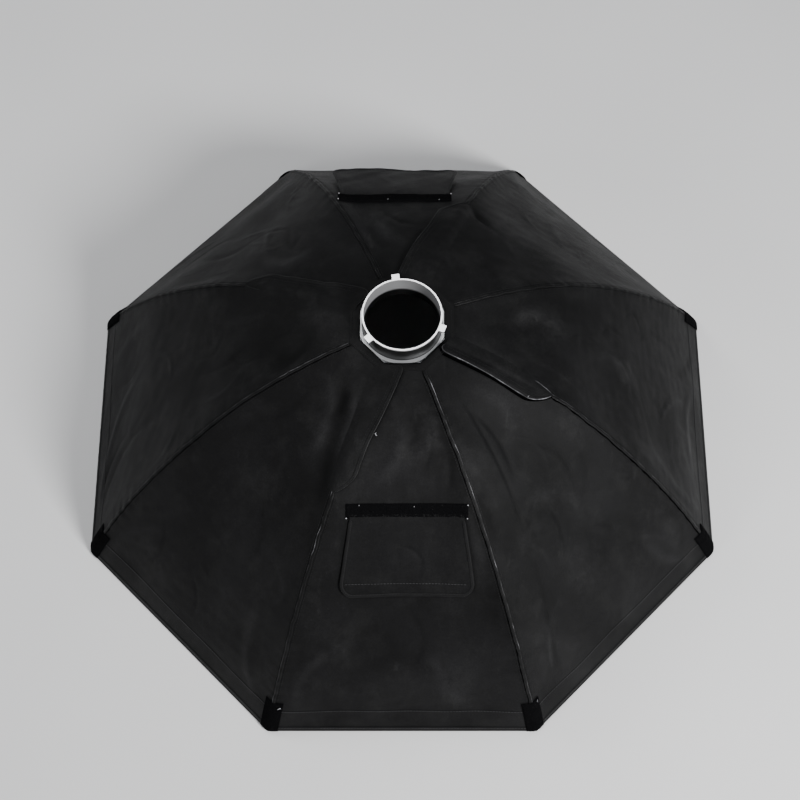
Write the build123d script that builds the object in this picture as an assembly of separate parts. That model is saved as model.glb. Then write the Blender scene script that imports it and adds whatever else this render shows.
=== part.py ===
"""Octagonal studio softbox, 950 mm across its corners, standing face down on its open rim.

The origin is the centre of the rim's plane. +Z is the light's axis and points to the rear, where the
mount collar is. Panels are centred on azimuths of 0, 45, 90 ... degrees and the ribs lie half way
between them. A panel is numbered from 1 at azimuth 0, and rib N is at the panel's far edge, 22.5
degrees on. All lengths are in millimetres.
"""
import os
from math import atan2, cos, degrees, hypot, radians, sin, tan

from build123d import *

# ---- Driving dimensions -------------------------------------------------------------------------
SIDES = 8
STEP = 360 / SIDES                  # degrees from one panel to the next
HALF = radians(STEP / 2)

# Outer shell: the middle line of a panel is two tangent arcs, from the neck to the rim
TIP_RADIUS = 475.0                  # rim corner, measured from the axis
NECK_APOTHEM = 57.0                 # neck opening, measured to the middle of a side
NECK_TOP = 349.0                    # height of the shell's outer face at the neck
NECK_SLOPE = radians(6.8)           # fall of the shell at the neck
SHOULDER_RADIUS = 352.0             # first arc
SHOULDER_END = radians(43.0)        # slope where the second, flatter arc begins

SHELL_THICK = 1.0
LINING_GAP = 0.3
LINING_THICK = 0.6
TRIM_THICK = 1.1                    # seam tapes and the folded hem, inside the lining
BAND_THICK = 1.2                    # hook band and loop band
FIT_GAP = 0.4                       # between a moving piece and the one it lies on

# Speed ring
RING_REAR = 344.5
RING_THICK = 14.0
RING_FLAT_RADIUS = 76.0             # to the short flats, where the rods go in
RING_FLAT_WIDTH = 18.0
RING_BORE_R = 58.5
RING_LIP_R = 51.5
RING_LIP_THICK = 3.0
RING_HUB_R = 56.0                   # low hub round the collar, inside the shell's neck
RING_HUB_TOP = 348.3
POCKET_DEPTH = 9.0
POCKET_INNER_R = 63.5
POCKET_WALL = 2.6
POCKET_CORNER_R = 1.5
SPOKE_WIDTH = 11.5
RING_CHAMFER = 1.2
BOSS_R = 2.6
BOSS_HEIGHT = 0.8
BOSS_PITCH_R = 68.5
BOSS_AZIMUTH = 10.5                 # each side of a pocket's middle

# Mount collar
COLLAR_R = 51.0
COLLAR_BORE_R = 49.0
COLLAR_TOP = 375.0
FLANGE_R = 57.2
FLANGE_THICK = 3.8
FLANGE_GAP = 0.35
LUG_COUNT = 3
LUG_AZIMUTH = 98.8
LUG_WIDTH = 10.0
LUG_REACH = 58.0
LUG_THICK = 2.5
LUG_ROOT_R = 49.5                   # inside the tube's wall

# Collar retainers
SCREW_PITCH_R = 61.0
SCREW_R = 2.0
SCREW_COVER = 1.5                   # ring left over a screw's end
PAN_HEAD_R = 3.9
PAN_HEAD_HEIGHT = 2.4
CROSS_LENGTH = 4.2
CROSS_WIDTH = 1.0
CROSS_DEPTH = 1.2
WASHER_R = 6.2
WASHER_BORE_R = 2.2
WASHER_THICK = 1.0
WASHER_SEAT_R = 6.8
LOCK_SHOULDER_HEIGHT = 3.4
LOCK_HEAD_R = 4.3
LOCK_HEAD_HEIGHT = 4.6
LOCK_SOCKET_R = 2.0                 # to the flats
LOCK_SOCKET_DEPTH = 2.7
LOCK_AZIMUTH = 270.0
PAN_AZIMUTHS = (0.0, 90.0, 180.0)
SLIDE_FIT = 0.08                    # radial room round a screw or a rod in its hole

# Rods: a straight stretch in the socket, then two tangent arcs to the rim's corner
ROD_R = 2.0
ROD_START = (64.0, 338.5)           # radius and height of the end inside the ring
ROD_SLOPE = radians(5.9)
ROD_STRAIGHT = 18.0
ROD_SHOULDER_RADIUS = 329.2
ROD_SHOULDER_END = radians(37.2)
ROD_TIP = (460.0, 9.0)
CAP_R = 3.2
CAP_LENGTH = 14.0
CAP_END = 1.8                       # cap beyond the rod's tip
TIP_POCKET_R = 4.3
TIP_POCKET_LENGTH = 18.0
TIP_POCKET_END = 4.0                # pocket beyond the rod's tip
TIP_POCKET_GAP = 0.1                # between the cap's end and the pocket's floor

# Rim, hem and front diffuser
RIM_LIP = 1.0                       # binding below the panels' lower edges
HEM_HEIGHT = 38.0
BAND_LOW = 10.0
BAND_HIGH = 36.0
BAND_END_MARGIN = 24.0              # bands stop this far from a rib
DIFFUSER_THICK = 1.2
DIFFUSER_EDGE_APOTHEM = 4.0         # the shell is this much narrower at the diffuser than at the rim
DIFFUSER_CLEARANCE = 0.5
DIFFUSER_CORNER_R = 448.0           # corners are cut off here, clear of the rods
TAPE_WIDTH = 11.0                   # each side of a rib
TAPE_START_APOTHEM = 76.0
TAPE_END_GAP = 2.0                  # between a tape's end and the hem

# Outside trim, lengths along a panel's middle line unless they say otherwise
NECK_HEM_WIDTH = 9.0
NECK_HEM_THICK = 1.2
NECK_EDGE_APOTHEM = (54.0, 56.7)    # binding of the neck's edge, which lies on the ring's hub
NECK_EDGE_LOW = 348.5
NECK_EDGE_THICK = 0.8
VENT_PANELS = {"lower": 7, "upper": 3}
VENT_SHIFT = {"lower": 6.0, "upper": 10.0}      # off the panel's middle line
VENT_TILT = {"lower": 0.0, "upper": 7.0}        # how far the flap stands open at rest, in degrees
VENT_STRIP_APOTHEM = 221.0          # upper edge of the hook-and-loop strip
VENT_STRIP_HEIGHT = 19.0
VENT_STRIP_WIDTH = 154.0
VENT_STRIP_THICK = 2.0
VENT_STRIP_GAP = 1.0                # from the strip down to the flap
VENT_FLAP_LENGTH = 108.0
VENT_FLAP_TOP_WIDTH = 144.0
VENT_FLAP_LOW_WIDTH = 176.0
VENT_FLAP_CORNER_R = 16.0
VENT_FLAP_THICK = 1.4
WINDOW_WIDTH = 84.0
WINDOW_HEIGHT = 54.0
WINDOW_CORNER_R = 12.0
MESH_THICK = 0.5
MESH_INSET = 0.2

# Access flaps by rib: panel they lie on, edge of it, width at the neck, width by the tip, length
ACCESS_FLAPS = {2: (3, -1, 36.0, 30.0, 166.0), 4: (4, 1, 28.0, 21.0, 160.0),
                6: (7, -1, 28.0, 21.0, 162.0), 8: (8, 1, 20.0, 23.0, 142.0)}
ACCESS_START_APOTHEM = 59.0
ACCESS_TAPER = 25.0                 # length of the drawn-in tip
ACCESS_TIP_SHARE = 0.35             # width left at the very end
ACCESS_CORNER_R = 11.0
ACCESS_THICK = 1.4
ACCESS_RIB_GAP = 0.6                # from the rib to the flap's sewn edge
HOOK_STRIP_WIDTH = 14.0
HOOK_STRIP_THICK = 0.9
HOOK_STRIP_MARGIN = 26.0
HOOK_STRIP_INSET = 2.0              # from the flap's free edge
HOOK_STRIP_CORNER_R = 1.0

TAB_WIDTH = 13.5                    # each side of the rib
TAB_LOW = 1.6
TAB_HIGH = 45.0
TAB_THICK = 1.8
TAB_GAP = 0.6

# ---- The shell's middle line --------------------------------------------------------------------
RIM_APOTHEM = TIP_RADIUS * cos(HALF)


def second_arc(point, slope, end):
    """Centre, radius and final slope of the arc that leaves point at a slope and meets end."""
    inward = (-sin(slope), -cos(slope))
    reach = (end[0] - point[0], end[1] - point[1])
    radius = hypot(*reach) ** 2 / (2 * (reach[0] * inward[0] + reach[1] * inward[1]))
    centre = (point[0] + radius * inward[0], point[1] + radius * inward[1])
    return centre, radius, atan2(end[0] - centre[0], end[1] - centre[1])


SHOULDER_CENTRE = (NECK_APOTHEM - SHOULDER_RADIUS * sin(NECK_SLOPE),
                   NECK_TOP - SHOULDER_RADIUS * cos(NECK_SLOPE))
SHOULDER_POINT = (SHOULDER_CENTRE[0] + SHOULDER_RADIUS * sin(SHOULDER_END),
                  SHOULDER_CENTRE[1] + SHOULDER_RADIUS * cos(SHOULDER_END))
SKIRT_CENTRE, SKIRT_RADIUS, RIM_SLOPE = second_arc(SHOULDER_POINT, SHOULDER_END, (RIM_APOTHEM, 0.0))
PAST_RIM = RIM_SLOPE + radians(1.5)


def middle_point(slope, depth=0.0):
    """Apothem and height of the middle line where it falls at a slope, depth inside the outer face."""
    on_shoulder = slope <= SHOULDER_END
    centre = SHOULDER_CENTRE if on_shoulder else SKIRT_CENTRE
    radius = (SHOULDER_RADIUS if on_shoulder else SKIRT_RADIUS) - depth
    return centre[0] + radius * sin(slope), centre[1] + radius * cos(slope)


def slope_at_apothem(apothem):
    """Slope of the outer face's middle line at a distance from the axis."""
    on_shoulder = apothem <= SHOULDER_POINT[0]
    centre = SHOULDER_CENTRE if on_shoulder else SKIRT_CENTRE
    radius = SHOULDER_RADIUS if on_shoulder else SKIRT_RADIUS
    return atan2(apothem - centre[0], (radius ** 2 - (apothem - centre[0]) ** 2) ** 0.5)


def slope_after(slope, length):
    """Slope after following the outer face's middle line down for a length."""
    room = max(0.0, (SHOULDER_END - slope) * SHOULDER_RADIUS)
    if length <= room:
        return slope + length / SHOULDER_RADIUS
    return max(slope, SHOULDER_END) + (length - room) / SKIRT_RADIUS


def arc_edge(centre, radius, slope_a, slope_b):
    """Arc between two slopes of the middle line, in the X-Z plane."""
    return Plane.XZ * CenterArc(centre, radius, 90 - degrees(slope_b), degrees(slope_b - slope_a))


def middle_edges(depth, start, end):
    """The middle line's arcs between two slopes, depth inside the outer face."""
    edges = []
    if start < SHOULDER_END:
        stop = min(end, SHOULDER_END)
        edges.append(arc_edge(SHOULDER_CENTRE, SHOULDER_RADIUS - depth, start, stop))
    if end > SHOULDER_END:
        edges.append(arc_edge(SKIRT_CENTRE, SKIRT_RADIUS - depth, max(start, SHOULDER_END), end))
    return edges


def at(point):
    """A point of the middle line's plane as a place in space."""
    return (point[0], 0, point[1])


def sheet(outer, inner, start=NECK_SLOPE, end=PAST_RIM, half_width=260.0):
    """Curved sheet on the panel at azimuth 0, between two depths inside its outer face."""
    edges = middle_edges(outer, start, end) + middle_edges(inner, start, end)
    for slope in (start, end):
        edges.append(Line(at(middle_point(slope, outer)), at(middle_point(slope, inner))))
    face = make_face(edges)
    return extrude(face, amount=half_width, both=True)


# ---- Cutting regions ----------------------------------------------------------------------------
REACH = 560.0
TOP = 400.0


def slab(low, high, reach=REACH):
    """Everything between two heights."""
    return Pos(0, 0, (low + high) / 2) * Box(2 * reach, 2 * reach, high - low)


def wedge():
    """The eighth of space that the panel at azimuth 0 takes."""
    spread = REACH * tan(HALF)
    outline = Polyline((0, 0), (REACH, -spread), (REACH, spread), close=True)
    return Pos(0, 0, -20) * extrude(make_face(outline), TOP + 20)


def rib_strip(side, near, far):
    """Region between two distances from the rib on one side of the panel at azimuth 0."""
    strip = Pos(REACH / 2, -side * (near + far) / 2, TOP / 2 - 10) * Box(REACH, far - near, TOP + 20)
    return Rot(0, 0, side * degrees(HALF)) * strip


def tangent_plane(slope, side=0, across=0.0):
    """Plane that touches the outer face: X runs down the panel, Y across it, Z outwards."""
    apothem, height = middle_point(slope)
    shift = side * (apothem * tan(HALF) - across)
    return Plane(origin=(apothem, shift, height), x_dir=(cos(slope), 0, -sin(slope)),
                 z_dir=(sin(slope), 0, cos(slope)))


def on_panel(solid, panel):
    """Turn a solid from the panel at azimuth 0 to a numbered panel."""
    return Rot(0, 0, (panel - 1) * STEP) * solid


def on_rib(solid, rib):
    """Turn a solid from azimuth 0 to a numbered rib."""
    return Rot(0, 0, (rib - 0.5) * STEP) * solid


# ---- Shell, lining and their trim ---------------------------------------------------------------
SHELL_IN = SHELL_THICK
LINING_OUT = SHELL_IN + LINING_GAP
LINING_IN = LINING_OUT + LINING_THICK
TRIM_IN = LINING_IN + TRIM_THICK
HOOK_IN = TRIM_IN + BAND_THICK
LOOP_IN = HOOK_IN + BAND_THICK

VENT_STRIP_START = slope_at_apothem(VENT_STRIP_APOTHEM)
VENT_STRIP_END = slope_after(VENT_STRIP_START, VENT_STRIP_HEIGHT)
VENT_FLAP_START = slope_after(VENT_STRIP_END, VENT_STRIP_GAP)
VENT_HINGE_LIFT = 2.1               # hinge line outside the shell
VENT_FLAP_END = slope_after(VENT_FLAP_START, VENT_FLAP_LENGTH)
VENT_MIDDLE = slope_after(VENT_FLAP_START, VENT_FLAP_LENGTH / 2)


def window_cutter():
    """Prism through the vent window of the panel at azimuth 0."""
    outline = RectangleRounded(WINDOW_HEIGHT, WINDOW_WIDTH, WINDOW_CORNER_R)
    return extrude(tangent_plane(VENT_MIDDLE) * outline, amount=20, both=True)


def panel(outer, inner):
    """One whole panel of the shell or the lining, above the rim's binding."""
    return sheet(outer, inner) & wedge() & slab(RIM_LIP, TOP)


def vent_mesh():
    """Mesh that fills the vent window, within the shell's thickness."""
    return sheet(MESH_INSET, MESH_INSET + MESH_THICK) & window_cutter()


def rim_binding():
    """Binding round the rim and the hem folded up inside it, sewn into one ring."""
    lip = sheet(0, TRIM_IN) & wedge() & slab(0, RIM_LIP)
    hem = sheet(LINING_IN, TRIM_IN) & wedge() & slab(RIM_LIP, HEM_HEIGHT)
    side = lip + hem
    ring = side
    for number in range(2, SIDES + 1):
        ring += on_panel(side, number)
    return ring


def octagon(apothem):
    """Octagon with a side across each panel's azimuth."""
    return RegularPolygon(apothem, SIDES, major_radius=False, rotation=degrees(HALF))


def rim_bands(outer, inner):
    """Eight straight strips of hook or loop band inside the hem, one on each side."""
    half_width = RIM_APOTHEM * tan(HALF) - BAND_END_MARGIN
    strip = sheet(outer, inner, half_width=half_width) & slab(BAND_LOW, BAND_HIGH)
    return Compound(children=[on_panel(strip, number) for number in range(1, SIDES + 1)])


def front_diffuser():
    """Flat cloth across the open face, its corners cut off where the rods pass."""
    slope = slope_at_apothem(RIM_APOTHEM - DIFFUSER_EDGE_APOTHEM)
    apothem = middle_point(slope, HOOK_IN)[0] - DIFFUSER_CLEARANCE
    trimmed = octagon(apothem) & RegularPolygon(DIFFUSER_CORNER_R, SIDES, major_radius=False)
    return Pos(0, 0, BAND_LOW - DIFFUSER_THICK) * extrude(trimmed, DIFFUSER_THICK)


def neck_hem():
    """Folded hem between the lining and the ring's rear face, and the binding of the neck's edge."""
    inside = octagon(NECK_APOTHEM + NECK_HEM_WIDTH) - octagon(NECK_APOTHEM)
    edge = octagon(NECK_EDGE_APOTHEM[1]) - octagon(NECK_EDGE_APOTHEM[0])
    return Compound(children=[Pos(0, 0, RING_REAR) * extrude(inside, NECK_HEM_THICK),
                              Pos(0, 0, NECK_EDGE_LOW) * extrude(edge, NECK_EDGE_THICK)])


def over_rib(outer, inner, width, low, high, start=NECK_SLOPE):
    """Strip folded over the rib at azimuth 0, width wide on each side of it."""
    halves = []
    for side in (1, -1):
        half = sheet(outer, inner, start=start) & rib_strip(side, 0, width) & slab(low, high)
        halves.append(Rot(0, 0, -side * degrees(HALF)) * half)
    return halves[0] + halves[1]


def seam_tape():
    """Tape that covers one rib's seam on the inside."""
    start = slope_at_apothem(TAPE_START_APOTHEM)
    return over_rib(LINING_IN, TRIM_IN, TAPE_WIDTH, HEM_HEIGHT + TAPE_END_GAP, TOP, start)


def tip_tab():
    """Hook-and-loop tab over one corner of the rim."""
    return over_rib(-TAB_GAP - TAB_THICK, -TAB_GAP, TAB_WIDTH, TAB_LOW, TAB_HIGH)


def vent_strip():
    """Hook-and-loop strip across the vent panel, above its flap."""
    return sheet(-VENT_STRIP_THICK, 0, VENT_STRIP_START, VENT_STRIP_END, VENT_STRIP_WIDTH / 2)


def vent_flap(tilt):
    """Flap over the vent window, wider at its lower edge, standing open by a tilt in degrees."""
    top, low, length = VENT_FLAP_TOP_WIDTH / 2, VENT_FLAP_LOW_WIDTH / 2, VENT_FLAP_LENGTH / 2
    corners = [(-length, -top), (-length, top), (length, low), (length, -low)]
    outline = make_face(Polyline(*corners, close=True))
    lower = [v for v in outline.vertices() if v.X > 0]
    outline = fillet(lower, VENT_FLAP_CORNER_R)
    cutter = extrude(tangent_plane(VENT_MIDDLE) * outline, amount=30, both=True)
    flap = sheet(-FIT_GAP - VENT_FLAP_THICK, -FIT_GAP, VENT_FLAP_START, VENT_FLAP_END) & cutter
    hinge = Axis(at(middle_point(VENT_FLAP_START, -VENT_HINGE_LIFT)), (0, -1, 0))
    return flap.rotate(hinge, tilt)


ACCESS_START = slope_at_apothem(ACCESS_START_APOTHEM)
ACCESS_DEPTH = HOOK_STRIP_THICK + FIT_GAP


def beside_rib(side, outer, inner, near, length, outline):
    """Part of a sheet beside the rib, cut to an outline that is centred on the rib's middle."""
    region = sheet(outer, inner) & rib_strip(side, near, 2 * ACCESS_TAPER)
    middle = slope_after(ACCESS_START, length / 2)
    turn = side * degrees(atan2(sin(HALF), cos(HALF) / cos(middle)))
    cutter = extrude(tangent_plane(middle, side) * (Rot(0, 0, turn) * outline), amount=30, both=True)
    return region & cutter


def access_flap(side, width, tip_width, length):
    """Flap that covers the slit beside a rib, lying on one edge of the panel at azimuth 0."""
    half, end = length / 2, ACCESS_TIP_SHARE * tip_width
    edge = [(-half, width), (0, width), (half - ACCESS_TAPER, tip_width), (half, end)]
    other = [(x, -y) for x, y in reversed(edge)]
    outline = make_face(Polyline(*edge, *other, close=True))
    outline = fillet([v for v in outline.vertices() if v.X != 0], ACCESS_CORNER_R)
    return beside_rib(side, -ACCESS_DEPTH - ACCESS_THICK, -ACCESS_DEPTH, ACCESS_RIB_GAP, length, outline)


def access_hook_strip(side, width, tip_width, length):
    """Hook strip on the panel, under the free edge of an access flap."""
    far = min(width, tip_width) - HOOK_STRIP_INSET
    outline = RectangleRounded(length - 2 * HOOK_STRIP_MARGIN, 2 * far, HOOK_STRIP_CORNER_R)
    return beside_rib(side, -HOOK_STRIP_THICK, 0, far - HOOK_STRIP_WIDTH, length, outline)


# ---- Speed ring and mount collar ----------------------------------------------------------------
RING_FRONT = RING_REAR - RING_THICK
LIP_FRONT = RING_REAR - RING_LIP_THICK
POCKET_FLOOR = RING_FRONT + POCKET_DEPTH
FLANGE_REAR = LIP_FRONT - FLANGE_GAP
FLANGE_FRONT = FLANGE_REAR - FLANGE_THICK
WASHER_REAR = FLANGE_FRONT - FLANGE_GAP
WASHER_FRONT = WASHER_REAR - WASHER_THICK


def drum(radius, low, high):
    """Cylinder about the axis between two heights."""
    return Pos(0, 0, (low + high) / 2) * Cylinder(radius, high - low)


def polar(radius, azimuth, solid):
    """Copy of a solid moved out from the axis and turned to an azimuth."""
    return Rot(0, 0, azimuth) * Pos(radius, 0, 0) * solid


def ring_outline():
    """Sixteen-sided outline: a short flat at each rod and a long side between two rods."""
    corner_r = hypot(RING_FLAT_RADIUS, RING_FLAT_WIDTH / 2)
    spread = degrees(atan2(RING_FLAT_WIDTH / 2, RING_FLAT_RADIUS))
    points = []
    for rib in range(SIDES):
        middle = STEP / 2 + rib * STEP
        for azimuth in (middle - spread, middle + spread):
            points.append((corner_r * cos(radians(azimuth)), corner_r * sin(radians(azimuth))))
    return make_face(Polyline(*points, close=True))


def ring_pocket():
    """Recess in the ring's front face between two spokes, centred on azimuth 0."""
    corner_r = hypot(RING_FLAT_RADIUS, RING_FLAT_WIDTH / 2)
    outer = corner_r * cos(HALF - atan2(RING_FLAT_WIDTH / 2, RING_FLAT_RADIUS)) - POCKET_WALL
    spread = outer * tan(HALF)
    region = make_face(Polyline((0, 0), (outer, -spread), (outer, spread), close=True))
    for side in (1, -1):
        half_spoke = Pos(outer / 2, -side * SPOKE_WIDTH / 4) * Rectangle(2 * outer, SPOKE_WIDTH / 2)
        region -= Rot(0, 0, side * degrees(HALF)) * half_spoke
    region -= Circle(POCKET_INNER_R)
    region = fillet(region.vertices(), POCKET_CORNER_R)
    return Pos(0, 0, RING_FRONT) * extrude(region, POCKET_DEPTH)


def pocket_bosses():
    """Two low round bosses on a pocket's floor."""
    boss = drum(BOSS_R, POCKET_FLOOR - BOSS_HEIGHT, POCKET_FLOOR + 1)
    return [polar(BOSS_PITCH_R, azimuth, boss) for azimuth in (-BOSS_AZIMUTH, BOSS_AZIMUTH)]


def speed_ring():
    """Cast ring that takes the rods in its side and the mount collar in its bore."""
    body = Pos(0, 0, RING_FRONT) * extrude(ring_outline(), RING_THICK)
    body = chamfer(body.faces().sort_by(Axis.Z)[0].outer_wire().edges(), RING_CHAMFER)
    body += drum(RING_HUB_R, RING_REAR, RING_HUB_TOP)
    body -= drum(RING_LIP_R, RING_FRONT - 1, RING_HUB_TOP + 1)
    body -= drum(RING_BORE_R, RING_FRONT - 1, LIP_FRONT)
    for number in range(SIDES):
        body -= Rot(0, 0, number * STEP) * ring_pocket()
        for boss in pocket_bosses():
            body += Rot(0, 0, number * STEP) * boss
    for azimuth in PAN_AZIMUTHS + (LOCK_AZIMUTH,):
        seat = polar(SCREW_PITCH_R, azimuth, drum(WASHER_SEAT_R, WASHER_REAR, POCKET_FLOOR + 1))
        body += seat - drum(RING_BORE_R, 0, TOP)
        body -= polar(SCREW_PITCH_R, azimuth, drum(WASHER_SEAT_R, RING_FRONT - 1, WASHER_REAR))
        body -= polar(SCREW_PITCH_R, azimuth, drum(SCREW_R + SLIDE_FIT, RING_FRONT - 1, RING_REAR + 1))
    socket = Plane(origin=at(ROD_START), z_dir=(cos(ROD_SLOPE), 0, -sin(ROD_SLOPE)))
    hole = extrude(socket * Circle(ROD_R + SLIDE_FIT), ROD_STRAIGHT + 2)
    for rib in range(1, SIDES + 1):
        body -= on_rib(hole, rib)
    return body


def mount_collar():
    """Thin tube with a flange that turns inside the ring and three bayonet lugs on its rear edge."""
    body = drum(COLLAR_R, FLANGE_FRONT, COLLAR_TOP) + drum(FLANGE_R, FLANGE_FRONT, FLANGE_REAR)
    lug = Pos(LUG_REACH / 2 + LUG_ROOT_R, 0, 0) * Box(LUG_REACH, LUG_WIDTH, 2 * TOP)
    lug &= drum(LUG_REACH, COLLAR_TOP - LUG_THICK, COLLAR_TOP)
    for number in range(LUG_COUNT):
        body += polar(0, LUG_AZIMUTH + number * 360 / LUG_COUNT, lug)
    body -= drum(COLLAR_BORE_R, FLANGE_FRONT - 1, COLLAR_TOP + 1)
    return body


def pan_screw():
    """Cross-headed screw on the axis, its head below the washer's face."""
    low = WASHER_FRONT - PAN_HEAD_HEIGHT
    head = drum(PAN_HEAD_R, low, WASHER_FRONT)
    head = fillet(head.faces().sort_by(Axis.Z)[0].edges(), 1.0)
    for turn in (0, 90):
        head -= Pos(0, 0, low) * Rot(0, 0, turn) * Box(CROSS_LENGTH, CROSS_WIDTH, 2 * CROSS_DEPTH)
    return head + drum(SCREW_R, WASHER_FRONT, RING_REAR - SCREW_COVER)


def washer():
    """Washer that holds the collar's flange in the ring."""
    return drum(WASHER_R, WASHER_FRONT, WASHER_REAR) - drum(WASHER_BORE_R, 0, TOP)


def lock_screw():
    """Socket screw with a deep shoulder, which stands proud of the ring's front face."""
    shoulder_front = WASHER_REAR - LOCK_SHOULDER_HEIGHT
    head_front = shoulder_front - LOCK_HEAD_HEIGHT
    shoulder = drum(WASHER_R, shoulder_front, WASHER_REAR)
    head = drum(LOCK_HEAD_R, head_front, shoulder_front)
    head = chamfer(head.faces().sort_by(Axis.Z)[0].edges(), 0.4)
    hexagon = RegularPolygon(LOCK_SOCKET_R, 6, major_radius=False)
    socket = Pos(0, 0, head_front) * extrude(hexagon, LOCK_SOCKET_DEPTH)
    return shoulder + head + drum(SCREW_R, WASHER_REAR, RING_REAR - SCREW_COVER) - socket


# ---- Rods and what holds their tips -------------------------------------------------------------
def rod_path():
    """The rod's middle line in the plane of a rib, at azimuth 0."""
    bend = (ROD_START[0] + ROD_STRAIGHT * cos(ROD_SLOPE), ROD_START[1] - ROD_STRAIGHT * sin(ROD_SLOPE))
    centre = (bend[0] - ROD_SHOULDER_RADIUS * sin(ROD_SLOPE),
              bend[1] - ROD_SHOULDER_RADIUS * cos(ROD_SLOPE))
    shoulder = (centre[0] + ROD_SHOULDER_RADIUS * sin(ROD_SHOULDER_END),
                centre[1] + ROD_SHOULDER_RADIUS * cos(ROD_SHOULDER_END))
    far_centre, far_radius, far_slope = second_arc(shoulder, ROD_SHOULDER_END, ROD_TIP)
    straight = Line(at(ROD_START), at(bend))
    first = arc_edge(centre, ROD_SHOULDER_RADIUS, ROD_SLOPE, ROD_SHOULDER_END)
    second = arc_edge(far_centre, far_radius, ROD_SHOULDER_END, far_slope)
    return Wire([straight, first, second]), far_slope


ROD_LINE, ROD_TIP_SLOPE = rod_path()


def rod():
    """One sprung steel rod."""
    start = Plane(origin=at(ROD_START), z_dir=(cos(ROD_SLOPE), 0, -sin(ROD_SLOPE)))
    return sweep(start * Circle(ROD_R), path=ROD_LINE)


def tip_sleeve(radius, bore, length, end, floor=0.0):
    """Sleeve over the rod's tip at azimuth 0, closed past it; end and floor are beyond the tip."""
    tip = Plane(origin=at(ROD_TIP), z_dir=(cos(ROD_TIP_SLOPE), 0, -sin(ROD_TIP_SLOPE)))
    outside = tip * (Pos(0, 0, end - length / 2) * Cylinder(radius, length))
    inside = tip * (Pos(0, 0, floor - length / 2) * Cylinder(bore, length))
    return outside - inside


def rod_cap():
    """Cap on the rod's tip."""
    return tip_sleeve(CAP_R, ROD_R + SLIDE_FIT, CAP_LENGTH, CAP_END)


def tip_pocket():
    """Reinforced pocket at the rim's corner, which the capped rod stands in."""
    return tip_sleeve(TIP_POCKET_R, CAP_R + SLIDE_FIT, TIP_POCKET_LENGTH, TIP_POCKET_END,
                      CAP_END + TIP_POCKET_GAP)


# ---- All nodes ----------------------------------------------------------------------------------
def group(solids):
    """Several separate solids in one node."""
    return Compound(children=list(solids))


def all_nodes():
    """Every node's name and shape."""
    nodes = {
        "speed_ring": speed_ring(),
        "mount_collar": mount_collar(),
        "collar_retaining_screws": group(polar(SCREW_PITCH_R, a, pan_screw()) for a in PAN_AZIMUTHS),
        "retaining_washers": group(polar(SCREW_PITCH_R, a, washer()) for a in PAN_AZIMUTHS),
        "collar_lock_screw": polar(SCREW_PITCH_R, LOCK_AZIMUTH, lock_screw()),
        "rim_binding": rim_binding(),
        "neck_hem": neck_hem(),
        "diffuser_hook_bands": rim_bands(TRIM_IN, HOOK_IN),
        "diffuser_loop_bands": rim_bands(HOOK_IN, LOOP_IN),
        "front_diffuser": front_diffuser(),
        "rod_tip_caps": group(on_rib(rod_cap(), rib) for rib in range(1, SIDES + 1)),
        "rod_tip_pockets": group(on_rib(tip_pocket(), rib) for rib in range(1, SIDES + 1)),
        "seam_tapes": group(on_rib(seam_tape(), rib) for rib in range(1, SIDES + 1)),
    }
    shell, lining = panel(0, SHELL_IN), panel(LINING_OUT, LINING_IN)
    one_rod, one_tab = rod(), tip_tab()
    for number in range(1, SIDES + 1):
        nodes[f"shell_panel_{number}"] = on_panel(shell, number)
        nodes[f"lining_panel_{number}"] = on_panel(lining, number)
        nodes[f"rod_{number}"] = on_rib(one_rod, number)
        nodes[f"tip_tab_{number}"] = on_rib(one_tab, number)
    for place, number in VENT_PANELS.items():
        shift = Pos(0, VENT_SHIFT[place], 0)
        nodes[f"shell_panel_{number}"] = on_panel(shell - shift * window_cutter(), number)
        nodes[f"lining_panel_{number}"] = on_panel(lining - shift * window_cutter(), number)
        nodes[f"vent_strip_{place}"] = on_panel(shift * vent_strip(), number)
        nodes[f"vent_flap_{place}"] = on_panel(shift * vent_flap(VENT_TILT[place]), number)
        nodes[f"vent_mesh_{place}"] = on_panel(shift * vent_mesh(), number)
    hook_strips = []
    for rib, (number, side, *sizes) in ACCESS_FLAPS.items():
        nodes[f"access_flap_{rib}"] = on_panel(access_flap(side, *sizes), number)
        hook_strips.append(on_panel(access_hook_strip(side, *sizes), number))
    nodes["access_hook_strips"] = group(hook_strips)
    return nodes


if __name__ == "__main__":
    os.makedirs("parts", exist_ok=True)
    for name, shape in all_nodes().items():
        export_step(shape, os.path.join("parts", name + ".step"))
        print(name, len(shape.solids()), round(shape.volume / 1000, 2), "cm3")
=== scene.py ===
"""Looks of the octagonal studio softbox: sewn black shell, silver lining, hook-and-loop, cast ring.

All lengths are in metres and angles in radians unless a name says otherwise. s is a length down a
panel's middle line from the neck, x a distance across the panel or from a rib, and lift a distance
outwards from the shell's outer face.
"""

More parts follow.
